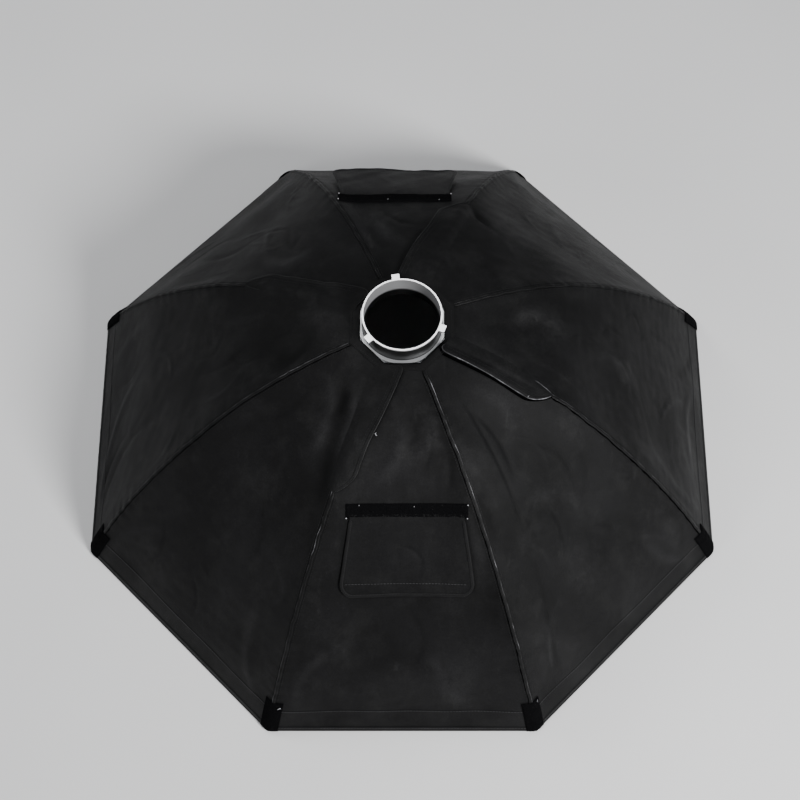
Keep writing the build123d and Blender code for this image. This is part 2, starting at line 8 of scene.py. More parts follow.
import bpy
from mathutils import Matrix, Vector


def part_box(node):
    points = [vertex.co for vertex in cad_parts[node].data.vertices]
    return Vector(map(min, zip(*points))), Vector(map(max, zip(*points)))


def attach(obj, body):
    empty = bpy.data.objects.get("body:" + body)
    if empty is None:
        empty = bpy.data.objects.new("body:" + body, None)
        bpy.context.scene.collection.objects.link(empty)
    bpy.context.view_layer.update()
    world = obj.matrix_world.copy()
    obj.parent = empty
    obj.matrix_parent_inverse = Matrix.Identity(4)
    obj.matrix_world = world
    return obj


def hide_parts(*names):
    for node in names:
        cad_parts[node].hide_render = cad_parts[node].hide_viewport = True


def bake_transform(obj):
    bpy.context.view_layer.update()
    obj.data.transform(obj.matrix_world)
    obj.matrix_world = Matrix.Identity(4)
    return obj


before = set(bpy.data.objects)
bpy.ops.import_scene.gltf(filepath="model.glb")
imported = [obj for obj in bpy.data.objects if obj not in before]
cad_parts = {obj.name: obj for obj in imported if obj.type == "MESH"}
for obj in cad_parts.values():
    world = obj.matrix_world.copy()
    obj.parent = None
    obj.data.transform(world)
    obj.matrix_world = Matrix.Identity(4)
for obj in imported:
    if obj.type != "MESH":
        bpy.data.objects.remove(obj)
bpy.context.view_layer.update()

from math import atan2, cos, hypot, pi, radians, sin, sqrt, tan

import bmesh
import bpy
import numpy as np
from mathutils import Vector

MM = 0.001

# ---- Sizes, as in the frame ---------------------------------------------------------------------
SIDES = 8
HALF = pi / SIDES
SPREAD = tan(HALF)                       # half a panel's width per unit of apothem
RIM_APOTHEM = float(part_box("rim_binding")[1][0])
NECK_TOP = float(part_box("shell_panel_1")[1][2])
NECK_APOTHEM = 57 * MM
NECK_SLOPE = radians(6.8)
SHOULDER_RADIUS = 352 * MM
SHOULDER_END = radians(43)
HEM_HEIGHT = float(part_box("rim_binding")[1][2])

SHELL_THICK = 0.8 * MM
LINING_DEPTH = 1.3 * MM
LINING_THICK = 0.4 * MM
HEM_DEPTH = 2.6 * MM


def second_arc():
    """Centre and radius of the outline's lower arc, from the shoulder's end to the rim."""
    point = (NECK_APOTHEM + SHOULDER_RADIUS * (sin(SHOULDER_END) - sin(NECK_SLOPE)),
             NECK_TOP + SHOULDER_RADIUS * (cos(SHOULDER_END) - cos(NECK_SLOPE)))
    inward = (-sin(SHOULDER_END), -cos(SHOULDER_END))
    reach = (RIM_APOTHEM - point[0], -point[1])
    radius = hypot(*reach) ** 2 / (2 * (reach[0] * inward[0] + reach[1] * inward[1]))
    centre = (point[0] + radius * inward[0], point[1] + radius * inward[1])
    return centre, radius


SHOULDER_CENTRE = (NECK_APOTHEM - SHOULDER_RADIUS * sin(NECK_SLOPE),
                   NECK_TOP - SHOULDER_RADIUS * cos(NECK_SLOPE))
SHOULDER_LENGTH = SHOULDER_RADIUS * (SHOULDER_END - NECK_SLOPE)
SKIRT_CENTRE, SKIRT_RADIUS = second_arc()
RIM_SLOPE = atan2(RIM_APOTHEM - SKIRT_CENTRE[0], -SKIRT_CENTRE[1])
LENGTH = SHOULDER_LENGTH + SKIRT_RADIUS * (RIM_SLOPE - SHOULDER_END)


def outline(s):
    """Apothem, height and slope of the shell's middle line, a length s down from the neck."""
    s = np.asarray(s, float)
    upper = s < SHOULDER_LENGTH
    slope = np.where(upper, NECK_SLOPE + s / SHOULDER_RADIUS,
                     SHOULDER_END + (s - SHOULDER_LENGTH) / SKIRT_RADIUS)
    radius = np.where(upper, SHOULDER_RADIUS, SKIRT_RADIUS)
    apothem = np.where(upper, SHOULDER_CENTRE[0], SKIRT_CENTRE[0]) + radius * np.sin(slope)
    height = np.where(upper, SHOULDER_CENTRE[1], SKIRT_CENTRE[1]) + radius * np.cos(slope)
    return apothem, height, slope


TABLE_S = np.linspace(0, LENGTH, 600)
TABLE_APOTHEM, TABLE_HEIGHT, _ = outline(TABLE_S)


def s_at_height(height):
    """Length down the middle line at a height above the rim's plane."""
    return float(np.interp(-height, -TABLE_HEIGHT, TABLE_S))


def s_at_apothem(apothem):
    """Length down the middle line at a distance from the axis."""
    return float(np.interp(apothem, TABLE_APOTHEM, TABLE_S))


HEM_S = s_at_height(HEM_HEIGHT)


# ---- Relief of the cloth ------------------------------------------------------------------------
def smooth(value, low, high):
    """0 below low, 1 above high and a smooth step between."""
    t = np.clip((value - low) / (high - low), 0, 1)
    return t * t * (3 - 2 * t)


def waves(rng, count, shortest, longest):
    """Random smooth field of two lengths, about -1 to 1, made of a few plane waves."""
    lengths = np.exp(rng.uniform(np.log(shortest), np.log(longest), count))
    angles, phases = rng.uniform(0, 2 * pi, (2, count))

    def field(x, y):
        total = 0
        for length, angle, phase in zip(lengths, angles, phases):
            total = total + np.sin(2 * pi * (x * cos(angle) + y * sin(angle)) / length + phase)
        return total / sqrt(count / 2)
    return field


# Main folds of each panel: share of the length and of the half width at both ends, then half width and
# height in millimetres and the bow in shares of the length. Positive shares of the half width are
# towards the next panel. The heights are multiplied by FOLD_GAIN.
FOLD_GAIN = 1.5
FOLDS = {
    0: [(0.14, 0.2, 0.34, 0.05, 12, 1.3, 0.05), (0.36, -0.05, 0.62, -0.2, 14, 1.2, 0.04),
        (0.7, -0.3, 0.86, 0.1, 4, 0.7, 0.03), (0.86, -0.55, 0.93, 0.35, 8, 1.1, 0.04),
        (0.95, -0.75, 0.6, -0.6, 9, 1.0, 0.05), (0.96, 0.75, 0.66, 0.3, 8, -1.0, 0.05)],
    1: [(0.1, 0.3, 0.3, 0.85, 9, 1.6, 0.08), (0.3, 0.3, 0.42, 0.9, 8, -1.5, 0.06),
        (0.5, -0.3, 0.75, 0.2, 12, 1.1, 0.05), (0.95, 0.8, 0.62, 0.4, 7, 0.9, 0.05)],
    2: [(0.12, -0.3, 0.3, 0.45, 8, 0.9, 0.04), (0.2, -0.45, 0.33, 0.3, 6, -0.7, 0.04),
        (0.09, 0.5, 0.36, 0.75, 5, 0.8, 0.03), (0.95, 0.7, 0.7, 0.3, 8, 0.9, 0.04)],
    3: [(0.96, 0.86, 0.88, -0.75, 7, 1.3, 0.06), (0.95, 0.84, 0.8, -0.5, 6, -0.9, 0.05),
        (0.93, 0.82, 0.72, -0.05, 6, 1.0, 0.06), (0.76, 0.55, 0.6, 0.05, 5, -0.8, 0.05),
        (0.6, 0.1, 0.38, 0.25, 5, 0.8, 0.06), (0.5, 0.0, 0.3, 0.1, 5, -0.7, 0.05),
        (0.22, -0.2, 0.36, 0.35, 13, 1.4, 0.05)],
    4: [(0.96, 0.8, 0.7, -0.35, 7, 1.2, 0.07), (0.94, 0.78, 0.78, 0.25, 5, -0.8, 0.05),
        (0.97, 0.62, 0.9, -0.45, 6, 1.1, 0.05), (0.95, 0.82, 0.62, 0.35, 8, -1.0, 0.06),
        (0.66, -0.35, 0.58, 0.0, 4, 0.6, 0.03), (0.12, 0.5, 0.25, 0.7, 8, 1.2, 0.04),
        (0.1, 0.0, 0.24, 0.35, 9, -0.9, 0.04), (0.9, -0.5, 0.6, -0.6, 12, 0.9, 0.05)],
    5: [(0.06, -0.15, 0.36, 0.86, 12, -1.7, 0.0), (0.09, 0.1, 0.2, 0.35, 8, -1.1, 0.01),
        (0.08, -0.4, 0.3, 0.5, 16, 1.0, 0.02),
        (0.07, 0.05, 0.3, 0.98, 8, 1.2, 0.03), (0.1, -0.62, 0.28, 0.3, 9, 1.1, 0.04),
        (0.95, 0.84, 0.62, 0.62, 7, 0.8, 0.04), (0.95, -0.82, 0.7, -0.5, 8, 0.8, 0.04)],
    6: [(0.08, 0.55, 0.24, 0.1, 11, 1.2, 0.04), (0.1, -0.1, 0.3, -0.55, 9, 1.0, 0.04),
        (0.13, 0.7, 0.32, 0.6, 7, -0.8, 0.03), (0.94, -0.8, 0.7, -0.5, 8, 0.9, 0.05),
        (0.92, 0.6, 0.68, 0.3, 14, 0.9, 0.05), (0.72, -0.2, 0.9, 0.3, 12, -0.8, 0.05)],
    7: [(0.05, -0.3, 0.52, -0.52, 3, -0.55, 0.01), (0.5, -0.5, 0.9, -0.74, 3.5, -0.6, 0.01),
        (0.14, -0.35, 0.36, -0.3, 4, -0.6, 0.02), (0.44, -0.12, 0.62, -0.2, 3, -0.6, 0.02),
        (0.9, -0.72, 0.68, -0.35, 3, 0.6, 0.04), (0.88, -0.66, 0.74, -0.5, 3, -0.5, 0.02),
        (0.3, 0.1, 0.5, 0.3, 4, -0.5, 0.04), (0.42, -0.28, 0.6, 0.15, 10, 0.8, 0.05),
        (0.1, 0.1, 0.3, 0.0, 12, 1.0, 0.03), (0.95, 0.82, 0.7, 0.6, 8, 0.9, 0.04),
        (0.6, 0.1, 0.72, 0.3, 4, -0.5, 0.04)],
}
# How deep the painted shade on the cloth is beside a rib, by panel and side; other places take the plain
# value
RIB_SHADOW = {(2, -1): 0.6, (2, 1): 0.8, (3, -1): 0.5, (4, -1): 0.6, (5, -1): 0.7, (5, 1): 0.6, (6, 1): 0.8,
              (7, 1): 1.0}
PLAIN_RIB_SHADOW = 0.25
FLAP_SHADOW = {2: 0.8, 4: 0.5, 6: 0.6, 8: 1.0}               # by rib number, beside a flap's edge
VENT_FLAP_SHADOW = 0.85
SAG_MM = (6.5, 6.0, 3.5, 7.0, 7.0, 6.5, 4.0, 6.0)            # by panel


def small_folds(rng, count):
    """Faint random creases of one panel, in the same form as the main folds."""
    made = []
    for _ in range(count):
        s0, t0 = rng.uniform(0.04, 0.75), rng.uniform(-0.85, 0.85)
        s1, t1 = s0 + rng.uniform(0.08, 0.25), np.clip(t0 + rng.normal(0, 0.25), -0.95, 0.95)
        width = rng.uniform(2.5, 7)
        height = rng.choice((-1, 1)) * rng.uniform(0.2, 0.5)
        made.append((s0, t0, s1, t1, width, height, 0.04))
    return made


# Access flaps by rib number: side of the rib, width at the neck and by the tip, length, lift of the edge
ACCESS = {2: (1, 36 * MM, 30 * MM, 166 * MM, 1.5 * MM), 4: (-1, 28 * MM, 21 * MM, 160 * MM, 0.6 * MM),
          6: (1, 28 * MM, 21 * MM, 162 * MM, 0.8 * MM), 8: (-1, 20 * MM, 23 * MM, 142 * MM, 4.0 * MM)}
ACCESS_START = s_at_apothem(59 * MM)
ACCESS_TAPER = 25 * MM
ACCESS_ROOT = 16 * MM
ACCESS_CORNER = 9 * MM


def access_reach(along, near, far, length):
    """Distance from the rib to a flap's free edge: rounded at the neck, drawn in to a point at the tip."""
    base = near + (far - near) * smooth(along, 0.15 * length, 0.8 * length)
    into = np.clip(ACCESS_CORNER - along, 0, ACCESS_CORNER)
    taper = np.clip((along - (length - ACCESS_TAPER)) / ACCESS_TAPER, 0, 1)
    return (base - ACCESS_CORNER + np.sqrt(ACCESS_CORNER ** 2 - into ** 2)) * (1 - taper ** 1.9) ** 0.85


VENTS = {"lower": (6, 6 * MM, 0.0), "upper": (2, 10 * MM, radians(6.2))}     # panel, shift, tilt
STRIP_TOP = s_at_apothem(221 * MM)
STRIP_HEIGHT = 19 * MM
STRIP_HALF = 77 * MM
STRIP_RISE = {"lower": 0.0, "upper": 2.2 * MM}
FLAP_TOP = STRIP_TOP + STRIP_HEIGHT + 1 * MM
FLAP_LENGTH = 108 * MM
FLAP_HALF = (72 * MM, 87.5 * MM)
FLAP_CORNER = 21 * MM
FLAP_THICK = 1.0 * MM
FLAP_HEM = 18 * MM
FLAP_ROOT = 6 * MM                       # cloth above the hinge line, under the strip


def flap_half_width(along):
    """Half width of the vent flap at a length below its top edge, rounded in at the low corners."""
    straight = FLAP_HALF[0] + (FLAP_HALF[1] - FLAP_HALF[0]) * np.clip(along / FLAP_LENGTH, 0, 1)
    into = np.clip(along - (FLAP_LENGTH - FLAP_CORNER), 0, FLAP_CORNER)
    return straight - (FLAP_CORNER - np.sqrt(FLAP_CORNER ** 2 - into ** 2))


BROAD_RELIEF = 0.9 * MM
FINE_RELIEF = 0.08 * MM
HEM_STEP = 0.4 * MM                      # the doubled cloth of the hem stands out by this
PUCKER = 0.28 * MM
RIDGE_DROP = 1.1 * MM                    # rounds the panel off beside a rib


class Cloth:
    """Seeded relief of the eight panels and eight ribs."""

    def __init__(self):
        self.folds, self.broad, self.fine = [], [], []
        for panel in range(SIDES):
            rng = np.random.default_rng(40 + panel)
            self.folds.append(FOLDS[panel] + small_folds(rng, 14))
            self.broad.append(waves(rng, 7, 90 * MM, 260 * MM))
            self.fine.append(waves(rng, 9, 16 * MM, 42 * MM))
        self.pucker = [waves(np.random.default_rng(80 + rib), 6, 9 * MM, 22 * MM) for rib in range(SIDES)]

    def relief(self, panel, s, x, half_width):
        """Outward relief of a panel at length s and distance x from its middle."""
        edge = half_width - np.abs(x)
        inside = (smooth(edge, 3 * MM, 22 * MM) * smooth(LENGTH - s, 4 * MM, 60 * MM)
                  * smooth(s, 2 * MM, 25 * MM))
        share = np.clip(x / np.maximum(half_width, 1e-6), -1, 1)
        sag = SAG_MM[panel] * MM * (1 - share ** 2) * np.sin(pi * np.clip(s / LENGTH, 0, 1)) ** 1.3
        hem = HEM_STEP * smooth(s, HEM_S - 0.6 * MM, HEM_S + 0.6 * MM)
        uneven = BROAD_RELIEF * self.broad[panel](x, s) + FINE_RELIEF * self.fine[panel](x, s)
        total = hem - sag + inside * uneven
        total = total + inside * self.creases(panel, s, x)
        rib = np.where(x >= 0, panel, (panel - 1) % SIDES)
        pucker = np.zeros(np.broadcast(s, x).shape)
        for number in (panel, (panel - 1) % SIDES):
            here = rib == number
            pucker = np.where(here, self.pucker[number](0 * s, s + 0 * x), pucker)
        near = np.exp(-np.clip(edge, 0, None) / (9 * MM))
        ends = smooth(s, 0, 12 * MM) * smooth(LENGTH - s, 0, 20 * MM)
        total = total + PUCKER * pucker * near * ends
        ridge = np.clip(1 - edge / (6 * MM), 0, 1) ** 2
        return total - RIDGE_DROP * ridge * smooth(s, 0, 10 * MM)

    def creases(self, panel, s, x):
        """Height of a panel's folds."""
        total = 0 * s * x
        for s0, t0, s1, t1, width, height, bow in self.folds[panel]:
            s0, s1 = s0 * LENGTH, s1 * LENGTH
            x0, x1 = t0 * outline(s0)[0] * SPREAD, t1 * outline(s1)[0] * SPREAD
            long = hypot(s1 - s0, x1 - x0)
            along = ((s - s0) * (s1 - s0) + (x - x0) * (x1 - x0)) / long ** 2
            away = ((x - x0) * (s1 - s0) - (s - s0) * (x1 - x0)) / long
            away = away - bow * LENGTH * np.sin(pi * np.clip(along, 0, 1))
            fade = smooth(along, -0.05, 0.35) * (1 - smooth(along, 0.6, 1.08))
            total = total + FOLD_GAIN * height * MM * fade * np.exp(-(away / (width * MM)) ** 2)
        return total

    def painted_shade_and_tone(self, panel, s, x, half_width):
        """Painted highlight (up to 1) on fold crests, painted shade (down to -1) in valleys and by ribs and
        flaps, with random tone.
        """
        # Painted highlight on fold crests and painted shade in fold valleys; the broad waves add random tone.
        total = self.creases(panel, s, x) / (2.2 * MM) + 0.12 * self.broad[panel](x, s)
        for side in (-1, 1):
            edge = half_width - side * x
            rib_number = panel + 1 if side > 0 else (panel - 1) % SIDES + 1
            start = 0
            if rib_number in ACCESS:
                flap_side, near, far, length, _ = ACCESS[rib_number]
                start = ACCESS_START + length
                if flap_side == -side:
                    out = edge - access_reach(np.clip(s - ACCESS_START, 0, length), near, far, length)
                    beside = (s > ACCESS_START) & (s < start)
                    depth = FLAP_SHADOW[rib_number] * np.exp(-(np.clip(out, 0, None) / (3.5 * MM)) ** 2)
                    total = total - np.where(beside & (out > -12 * MM), depth, 0)
            strength = RIB_SHADOW.get((panel, side), PLAIN_RIB_SHADOW)
            total = total - strength * smooth(s, start, start + 10 * MM) * np.exp(-(edge / (5.5 * MM)) ** 2)
        # Painted shade round the vent flaps' edges.
        for vented, shift, _ in VENTS.values():
            if vented == panel:
                along = np.clip(s - FLAP_TOP, 0, FLAP_LENGTH - 0.5 * MM)
                out = np.hypot(np.clip(np.abs(x - shift) - flap_half_width(along), 0, None),
                               s - FLAP_TOP - along)
                total = total - VENT_FLAP_SHADOW * np.exp(-(out / (4.5 * MM)) ** 2)
        return np.clip(total, -1, 1)


CLOTH = Cloth()


def turned(points, azimuth):
    """Points turned about the axis."""
    c, s = cos(azimuth), sin(azimuth)
    x, y = points[..., 0] * c - points[..., 1] * s, points[..., 0] * s + points[..., 1] * c
    return np.stack([x, y, points[..., 2]], -1)


def on_panel(panel, s, x, lift=0.0, relief=True):
    """Points on a panel, numbered from 0, at length s, distance x from its middle, lifted outwards."""
    s, x, lift = np.broadcast_arrays(np.asarray(s, float), np.asarray(x, float), np.asarray(lift, float))
    apothem, height, slope = outline(s)
    half_width = apothem * SPREAD
    out = lift + (CLOTH.relief(panel, s, x, half_width) if relief else 0)
    radius = apothem + out * np.sin(slope)
    share = x / half_width
    points = np.stack([radius, share * radius * SPREAD, height + out * np.cos(slope)], -1)
    return turned(points, panel * 2 * HALF)


def rounded_rib(rib, s, x, lift=0.0):
    """Points near a rib, with the ridge rounded off as loose cloth lies over it."""
    total = 0
    for shift, weight in ((-8, 0.1), (-5.5, 0.15), (-2.5, 0.16), (0, 0.18), (2.5, 0.16), (5.5, 0.15),
                          (8, 0.1)):
        total = total + weight * near_rib(rib, s, x + shift * MM, lift)
    return total


def near_rib(rib, s, x, lift=0.0):
    """Points at a distance x from a rib: positive towards the next panel, negative towards the last."""
    s, x, lift = np.broadcast_arrays(np.asarray(s, float), np.asarray(x, float), np.asarray(lift, float))
    half_width = outline(s)[0] * SPREAD
    before = on_panel(rib, s, half_width + np.minimum(x, 0), 0)
    after = on_panel((rib + 1) % SIDES, s, -half_width + np.maximum(x, 0), 0)
    base = np.where((x < 0)[..., None], before, after)
    slope = outline(s)[2]
    normal = np.stack([np.sin(slope), 0 * slope, np.cos(slope)], -1)
    share = smooth(x, -5 * MM, 5 * MM)[..., None]
    out = (1 - share) * turned(normal, rib * 2 * HALF) + share * turned(normal, (rib + 1) * 2 * HALF)
    out = out / np.linalg.norm(out, axis=-1, keepdims=True)
    return base + out * lift[..., None]


# ---- Mesh helpers -------------------------------------------------------------------------------
def make_object(name, points, faces, material, uv=None, smooth_angle=50):
    """Mesh object from arrays of points and faces, with outward normals."""
    mesh = bpy.data.meshes.new(name)
    vertices = np.asarray(points, float).reshape(-1, 3).tolist()
    mesh.from_pydata(vertices, [], [list(map(int, face)) for face in faces])
    if uv is not None:
        layer = mesh.uv_layers.new(name="UVMap")
        corners = np.zeros(len(mesh.loops), np.int32)
        mesh.loops.foreach_get("vertex_index", corners)
        layer.data.foreach_set("uv", np.asarray(uv, np.float32).reshape(-1, 2)[corners].ravel())
    work = bmesh.new()
    work.from_mesh(mesh)
    bmesh.ops.recalc_face_normals(work, faces=work.faces)
    work.to_mesh(mesh)
    work.free()
    mesh.polygons.foreach_set("use_smooth", [True] * len(mesh.polygons))
    mesh.set_sharp_from_angle(angle=radians(smooth_angle))
    mesh.materials.append(material)
    piece = bpy.data.objects.new(name, mesh)
    bpy.context.scene.collection.objects.link(piece)
    return piece


def grid_faces(rows, cols, wrap=False):
    """Quads of a grid, joined round its columns if it wraps."""
    i = np.arange(rows - 1)[:, None]
    j = np.arange(cols if wrap else cols - 1)[None, :]
    a, b = i * cols + j, i * cols + (j + 1) % cols
    return np.stack([a, b, b + cols, a + cols], -1).reshape(-1, 4)


def closed_sheet(name, outer, inner, material, uv=None, keep=None, wrap=False, painted_shade_and_tone=None):
    """Sheet of cloth with its thickness: two grids and a wall along every open edge."""
    rows, cols = outer.shape[:2]
    faces = grid_faces(rows, cols, wrap)
    if keep is not None:
        faces = faces[keep.reshape(-1)]
    edges = np.concatenate([faces[:, [k, (k + 1) % 4]] for k in range(4)])
    ordered = np.sort(edges, axis=1)
    _, first, count = np.unique(ordered, axis=0, return_index=True, return_counts=True)
    rim = edges[first[count == 1]]
    n = rows * cols
    walls = np.stack([rim[:, 0], rim[:, 1], rim[:, 1] + n, rim[:, 0] + n], -1)
    points = np.concatenate([outer.reshape(-1, 3), inner.reshape(-1, 3)])
    every = np.concatenate([faces, faces[:, ::-1] + n, walls])
    used, index = np.unique(every, return_inverse=True)
    if uv is not None:
        uv = np.concatenate([uv.reshape(-1, 2)] * 2)[used]
    piece = make_object(name, points[used], index.reshape(-1, 4), material, uv)
    # Painted light and shade for the cloth's colour, stored on both faces.
    if painted_shade_and_tone is not None:
        layer = piece.data.attributes.new("painted_shade_and_tone", "FLOAT", "POINT")
        layer.data.foreach_set("value", np.concatenate([painted_shade_and_tone.reshape(-1)] * 2)[used].astype(np.float32))
    return piece


def frames_along(path, normals):
    """Unit tangent, side and normal at every point of a path that lies on a surface."""
    tangent = np.gradient(path, axis=0)
    tangent /= np.linalg.norm(tangent, axis=1, keepdims=True)
    normal = normals - (normals * tangent).sum(1, keepdims=True) * tangent
    normal /= np.linalg.norm(normal, axis=1, keepdims=True)
    return tangent, np.cross(normal, tangent), normal


def lengths_along(path):
    """Length from the start of a path to each of its points."""
    return np.concatenate([[0], np.cumsum(np.linalg.norm(np.diff(path, axis=0), axis=1))])


def strand(name, path, normals, half_width, half_thick, material, sides=8, square=1.0, taper=2):
    """Closed tube of an oval section along a path, flat to the surface, drawn in at both ends."""
    _, side, normal = frames_along(path, normals)
    angle = 2 * pi * np.arange(sides) / sides
    across = np.sign(np.cos(angle)) * np.abs(np.cos(angle)) ** square
    upward = np.sign(np.sin(angle)) * np.abs(np.sin(angle)) ** square
    size = np.ones(len(path))
    for k in range(taper):
        size[k] = size[-1 - k] = (k + 0.35) / taper
    width = np.broadcast_to(half_width, size.shape) * size
    points = (path[:, None] + side[:, None] * (across[None, :] * width[:, None])[..., None]
              + normal[:, None] * (upward[None, :] * (half_thick * size)[:, None])[..., None])
    faces = grid_faces(len(path), sides, wrap=True).tolist()
    faces.append(list(range(sides)))
    faces.append([(len(path) - 1) * sides + k for k in range(sides)])
    along = lengths_along(path)
    uv = np.stack(np.broadcast_arrays(along[:, None], (angle * half_thick)[None, :]), -1)
    return make_object(name, points, faces, material, uv, 60)


STITCH = 3.0 * MM
STITCH_GAP = 1.1 * MM
THREAD_R = 0.24 * MM


def stitches(name, lines, material):
    """Rows of separate stitches; each line is a path on the cloth and the normals there."""
    all_points, all_faces, start = [], [], 0
    ring = 2 * pi * np.arange(5) / 5
    for path, normals in lines:
        along = lengths_along(path)
        count = int(along[-1] / (STITCH + STITCH_GAP))
        for number in range(count):
            at = number * (STITCH + STITCH_GAP) + np.array([0, 0.2, 0.8, 1.0]) * STITCH
            centre = np.stack([np.interp(at, along, path[:, k]) for k in range(3)], 1)
            up = np.stack([np.interp(at, along, normals[:, k]) for k in range(3)], 1)
            _, side, normal = frames_along(centre, up)
            radius = THREAD_R * np.array([0.5, 1, 1, 0.5])
            centre = centre + normal * (np.array([-0.25, 0.12, 0.12, -0.25]) * MM)[:, None]
            points = (centre[:, None] + side[:, None] * (np.cos(ring) * radius[:, None])[..., None]
                      + normal[:, None] * (np.sin(ring) * radius[:, None])[..., None])
            all_points.append(points.reshape(-1, 3))
            faces = grid_faces(4, 5, wrap=True) + start
            all_faces.extend(faces.tolist())
            all_faces.append([start + k for k in range(5)])
            all_faces.append([start + 15 + k for k in range(5)])
            start += 20
    return make_object(name, np.concatenate(all_points), all_faces, material, smooth_angle=80)


def panel_normals(panel, s):
    """Outward normals of a panel's cloth, ignoring its relief, at lengths s."""
    slope = outline(s)[2]
    normal = np.stack([np.sin(slope), 0 * slope, np.cos(slope)], -1)
    return turned(normal, panel * 2 * HALF)


# ---- Materials ----------------------------------------------------------------------------------
class Shade:
    """Small helper that builds one node material."""

    def __init__(self, name):
        self.material = bpy.data.materials.new(name)
        self.material.use_nodes = True
        self.nodes, self.links = self.material.node_tree.nodes, self.material.node_tree.links
        self.shader = self.nodes["Principled BSDF"]
        self.height = None

    def add(self, kind, **values):
        """New node, with values for its inputs and properties."""
        node = self.nodes.new(kind)
        for key, value in values.items():
            if key in node.inputs:
                node.inputs[key].default_value = value
            else:
                setattr(node, key, value)
        return node

    def join(self, out, into):
        self.links.new(out, into)

    def set(self, **values):
        """Plain values on the shader, with _ for the spaces in their names."""
        for key, value in values.items():
            self.shader.inputs[key.replace("_", " ")].default_value = value

    def where(self, scale=(1, 1, 1), uv=False):
        """Object or UV coordinates, scaled."""
        coords = self.add("ShaderNodeTexCoord")
        mapping = self.add("ShaderNodeMapping")
        mapping.inputs["Scale"].default_value = scale
        self.join(coords.outputs["UV" if uv else "Object"], mapping.inputs["Vector"])
        return mapping.outputs["Vector"]

    def noise(self, scale, detail=4.0, rough=0.5, stretch=(1, 1, 1)):
        """Noise from 0 to 1 in object coordinates."""
        node = self.add("ShaderNodeTexNoise", Scale=scale, Detail=detail, Roughness=rough)
        self.join(self.where(stretch), node.inputs["Vector"])
        return node.outputs["Fac"]

    def ramp(self, value, stops):
        """Colour for a value, from (place, colour) stops."""
        node = self.add("ShaderNodeValToRGB")
        elements = node.color_ramp.elements
        while len(elements) < len(stops):
            elements.new(0.5)
        for element, (place, colour) in zip(elements, stops):
            element.position = place
            element.color = tuple(colour) + (1,)
        self.join(value, node.inputs["Fac"])
        return node.outputs["Color"]

    def mask(self, value, low, high):
        """Black below low, white above high."""
        return self.ramp(value, [(low, (0, 0, 0)), (high, (1, 1, 1))])

    def mix(self, factor, a, b, blend="MIX"):
        """Two colours mixed; each is a socket or a plain colour."""
        node = self.add("ShaderNodeMix", data_type="RGBA", blend_type=blend)
        for socket, value in ((node.inputs["Factor"], factor), (node.inputs["A"], a), (node.inputs["B"], b)):
            if hasattr(value, "links"):
                self.join(value, socket)
            else:
                socket.default_value = value + (1,) if isinstance(value, tuple) else value
        return node.outputs["Result"]

    def over(self, base, mask, amount, colour):
        """Base colour with another laid over it where the mask is white."""
        return self.mix(self.math("MULTIPLY", mask, amount), base, colour)

    def math(self, operation, a, b=0.0):
        """One sum on sockets or plain numbers."""
        node = self.add("ShaderNodeMath", operation=operation)
        for socket, value in zip(node.inputs, (a, b)):
            if hasattr(value, "links"):
                self.join(value, socket)
            else:
                socket.default_value = value
        return node.outputs[0]

    def bump(self, height, distance, strength):
        """Bump laid over those made before."""
        node = self.add("ShaderNodeBump", Strength=strength, Distance=distance)
        self.join(height, node.inputs["Height"])
        if self.height is not None:
            self.join(self.height, node.inputs["Normal"])
        self.height = node.outputs["Normal"]
        self.join(self.height, self.shader.inputs["Normal"])

    def colour(self, socket):
        self.join(socket, self.shader.inputs["Base Color"])

    def roughness(self, socket, low, high):
        """Roughness between two values, low where the socket is 0."""
        node = self.add("ShaderNodeMapRange")
        node.inputs["To Min"].default_value = low
        node.inputs["To Max"].default_value = high
        self.join(socket, node.inputs["Value"])
        self.join(node.outputs["Result"], self.shader.inputs["Roughness"])


def grey(value, tint=0.0):
    """Grey with a little blue."""
    return (value, value, value * (1 + tint))


WAVE_PERIOD = 0.314                      # of the wave texture's bands at a scale of 1


def crossed_bands(shade, pitch, **values):
    """Two sets of bands at right angles, one band to each thread."""
    bands = []
    for direction in "XY":
        node = shade.add("ShaderNodeTexWave", wave_type="BANDS", bands_direction=direction,
                         Scale=WAVE_PERIOD / pitch, **values)
        shade.join(shade.where(uv=True), node.inputs["Vector"])
        bands.append(node.outputs["Fac"])
    return bands


def weave(shade, pitch, depth):
    """Plain weave: two crossed sets of threads as bump, returned for colour."""
    threads = shade.math("MULTIPLY", *crossed_bands(shade, pitch, Distortion=0.6, Detail=1.0))
    shade.bump(threads, depth, 0.6)
    return threads


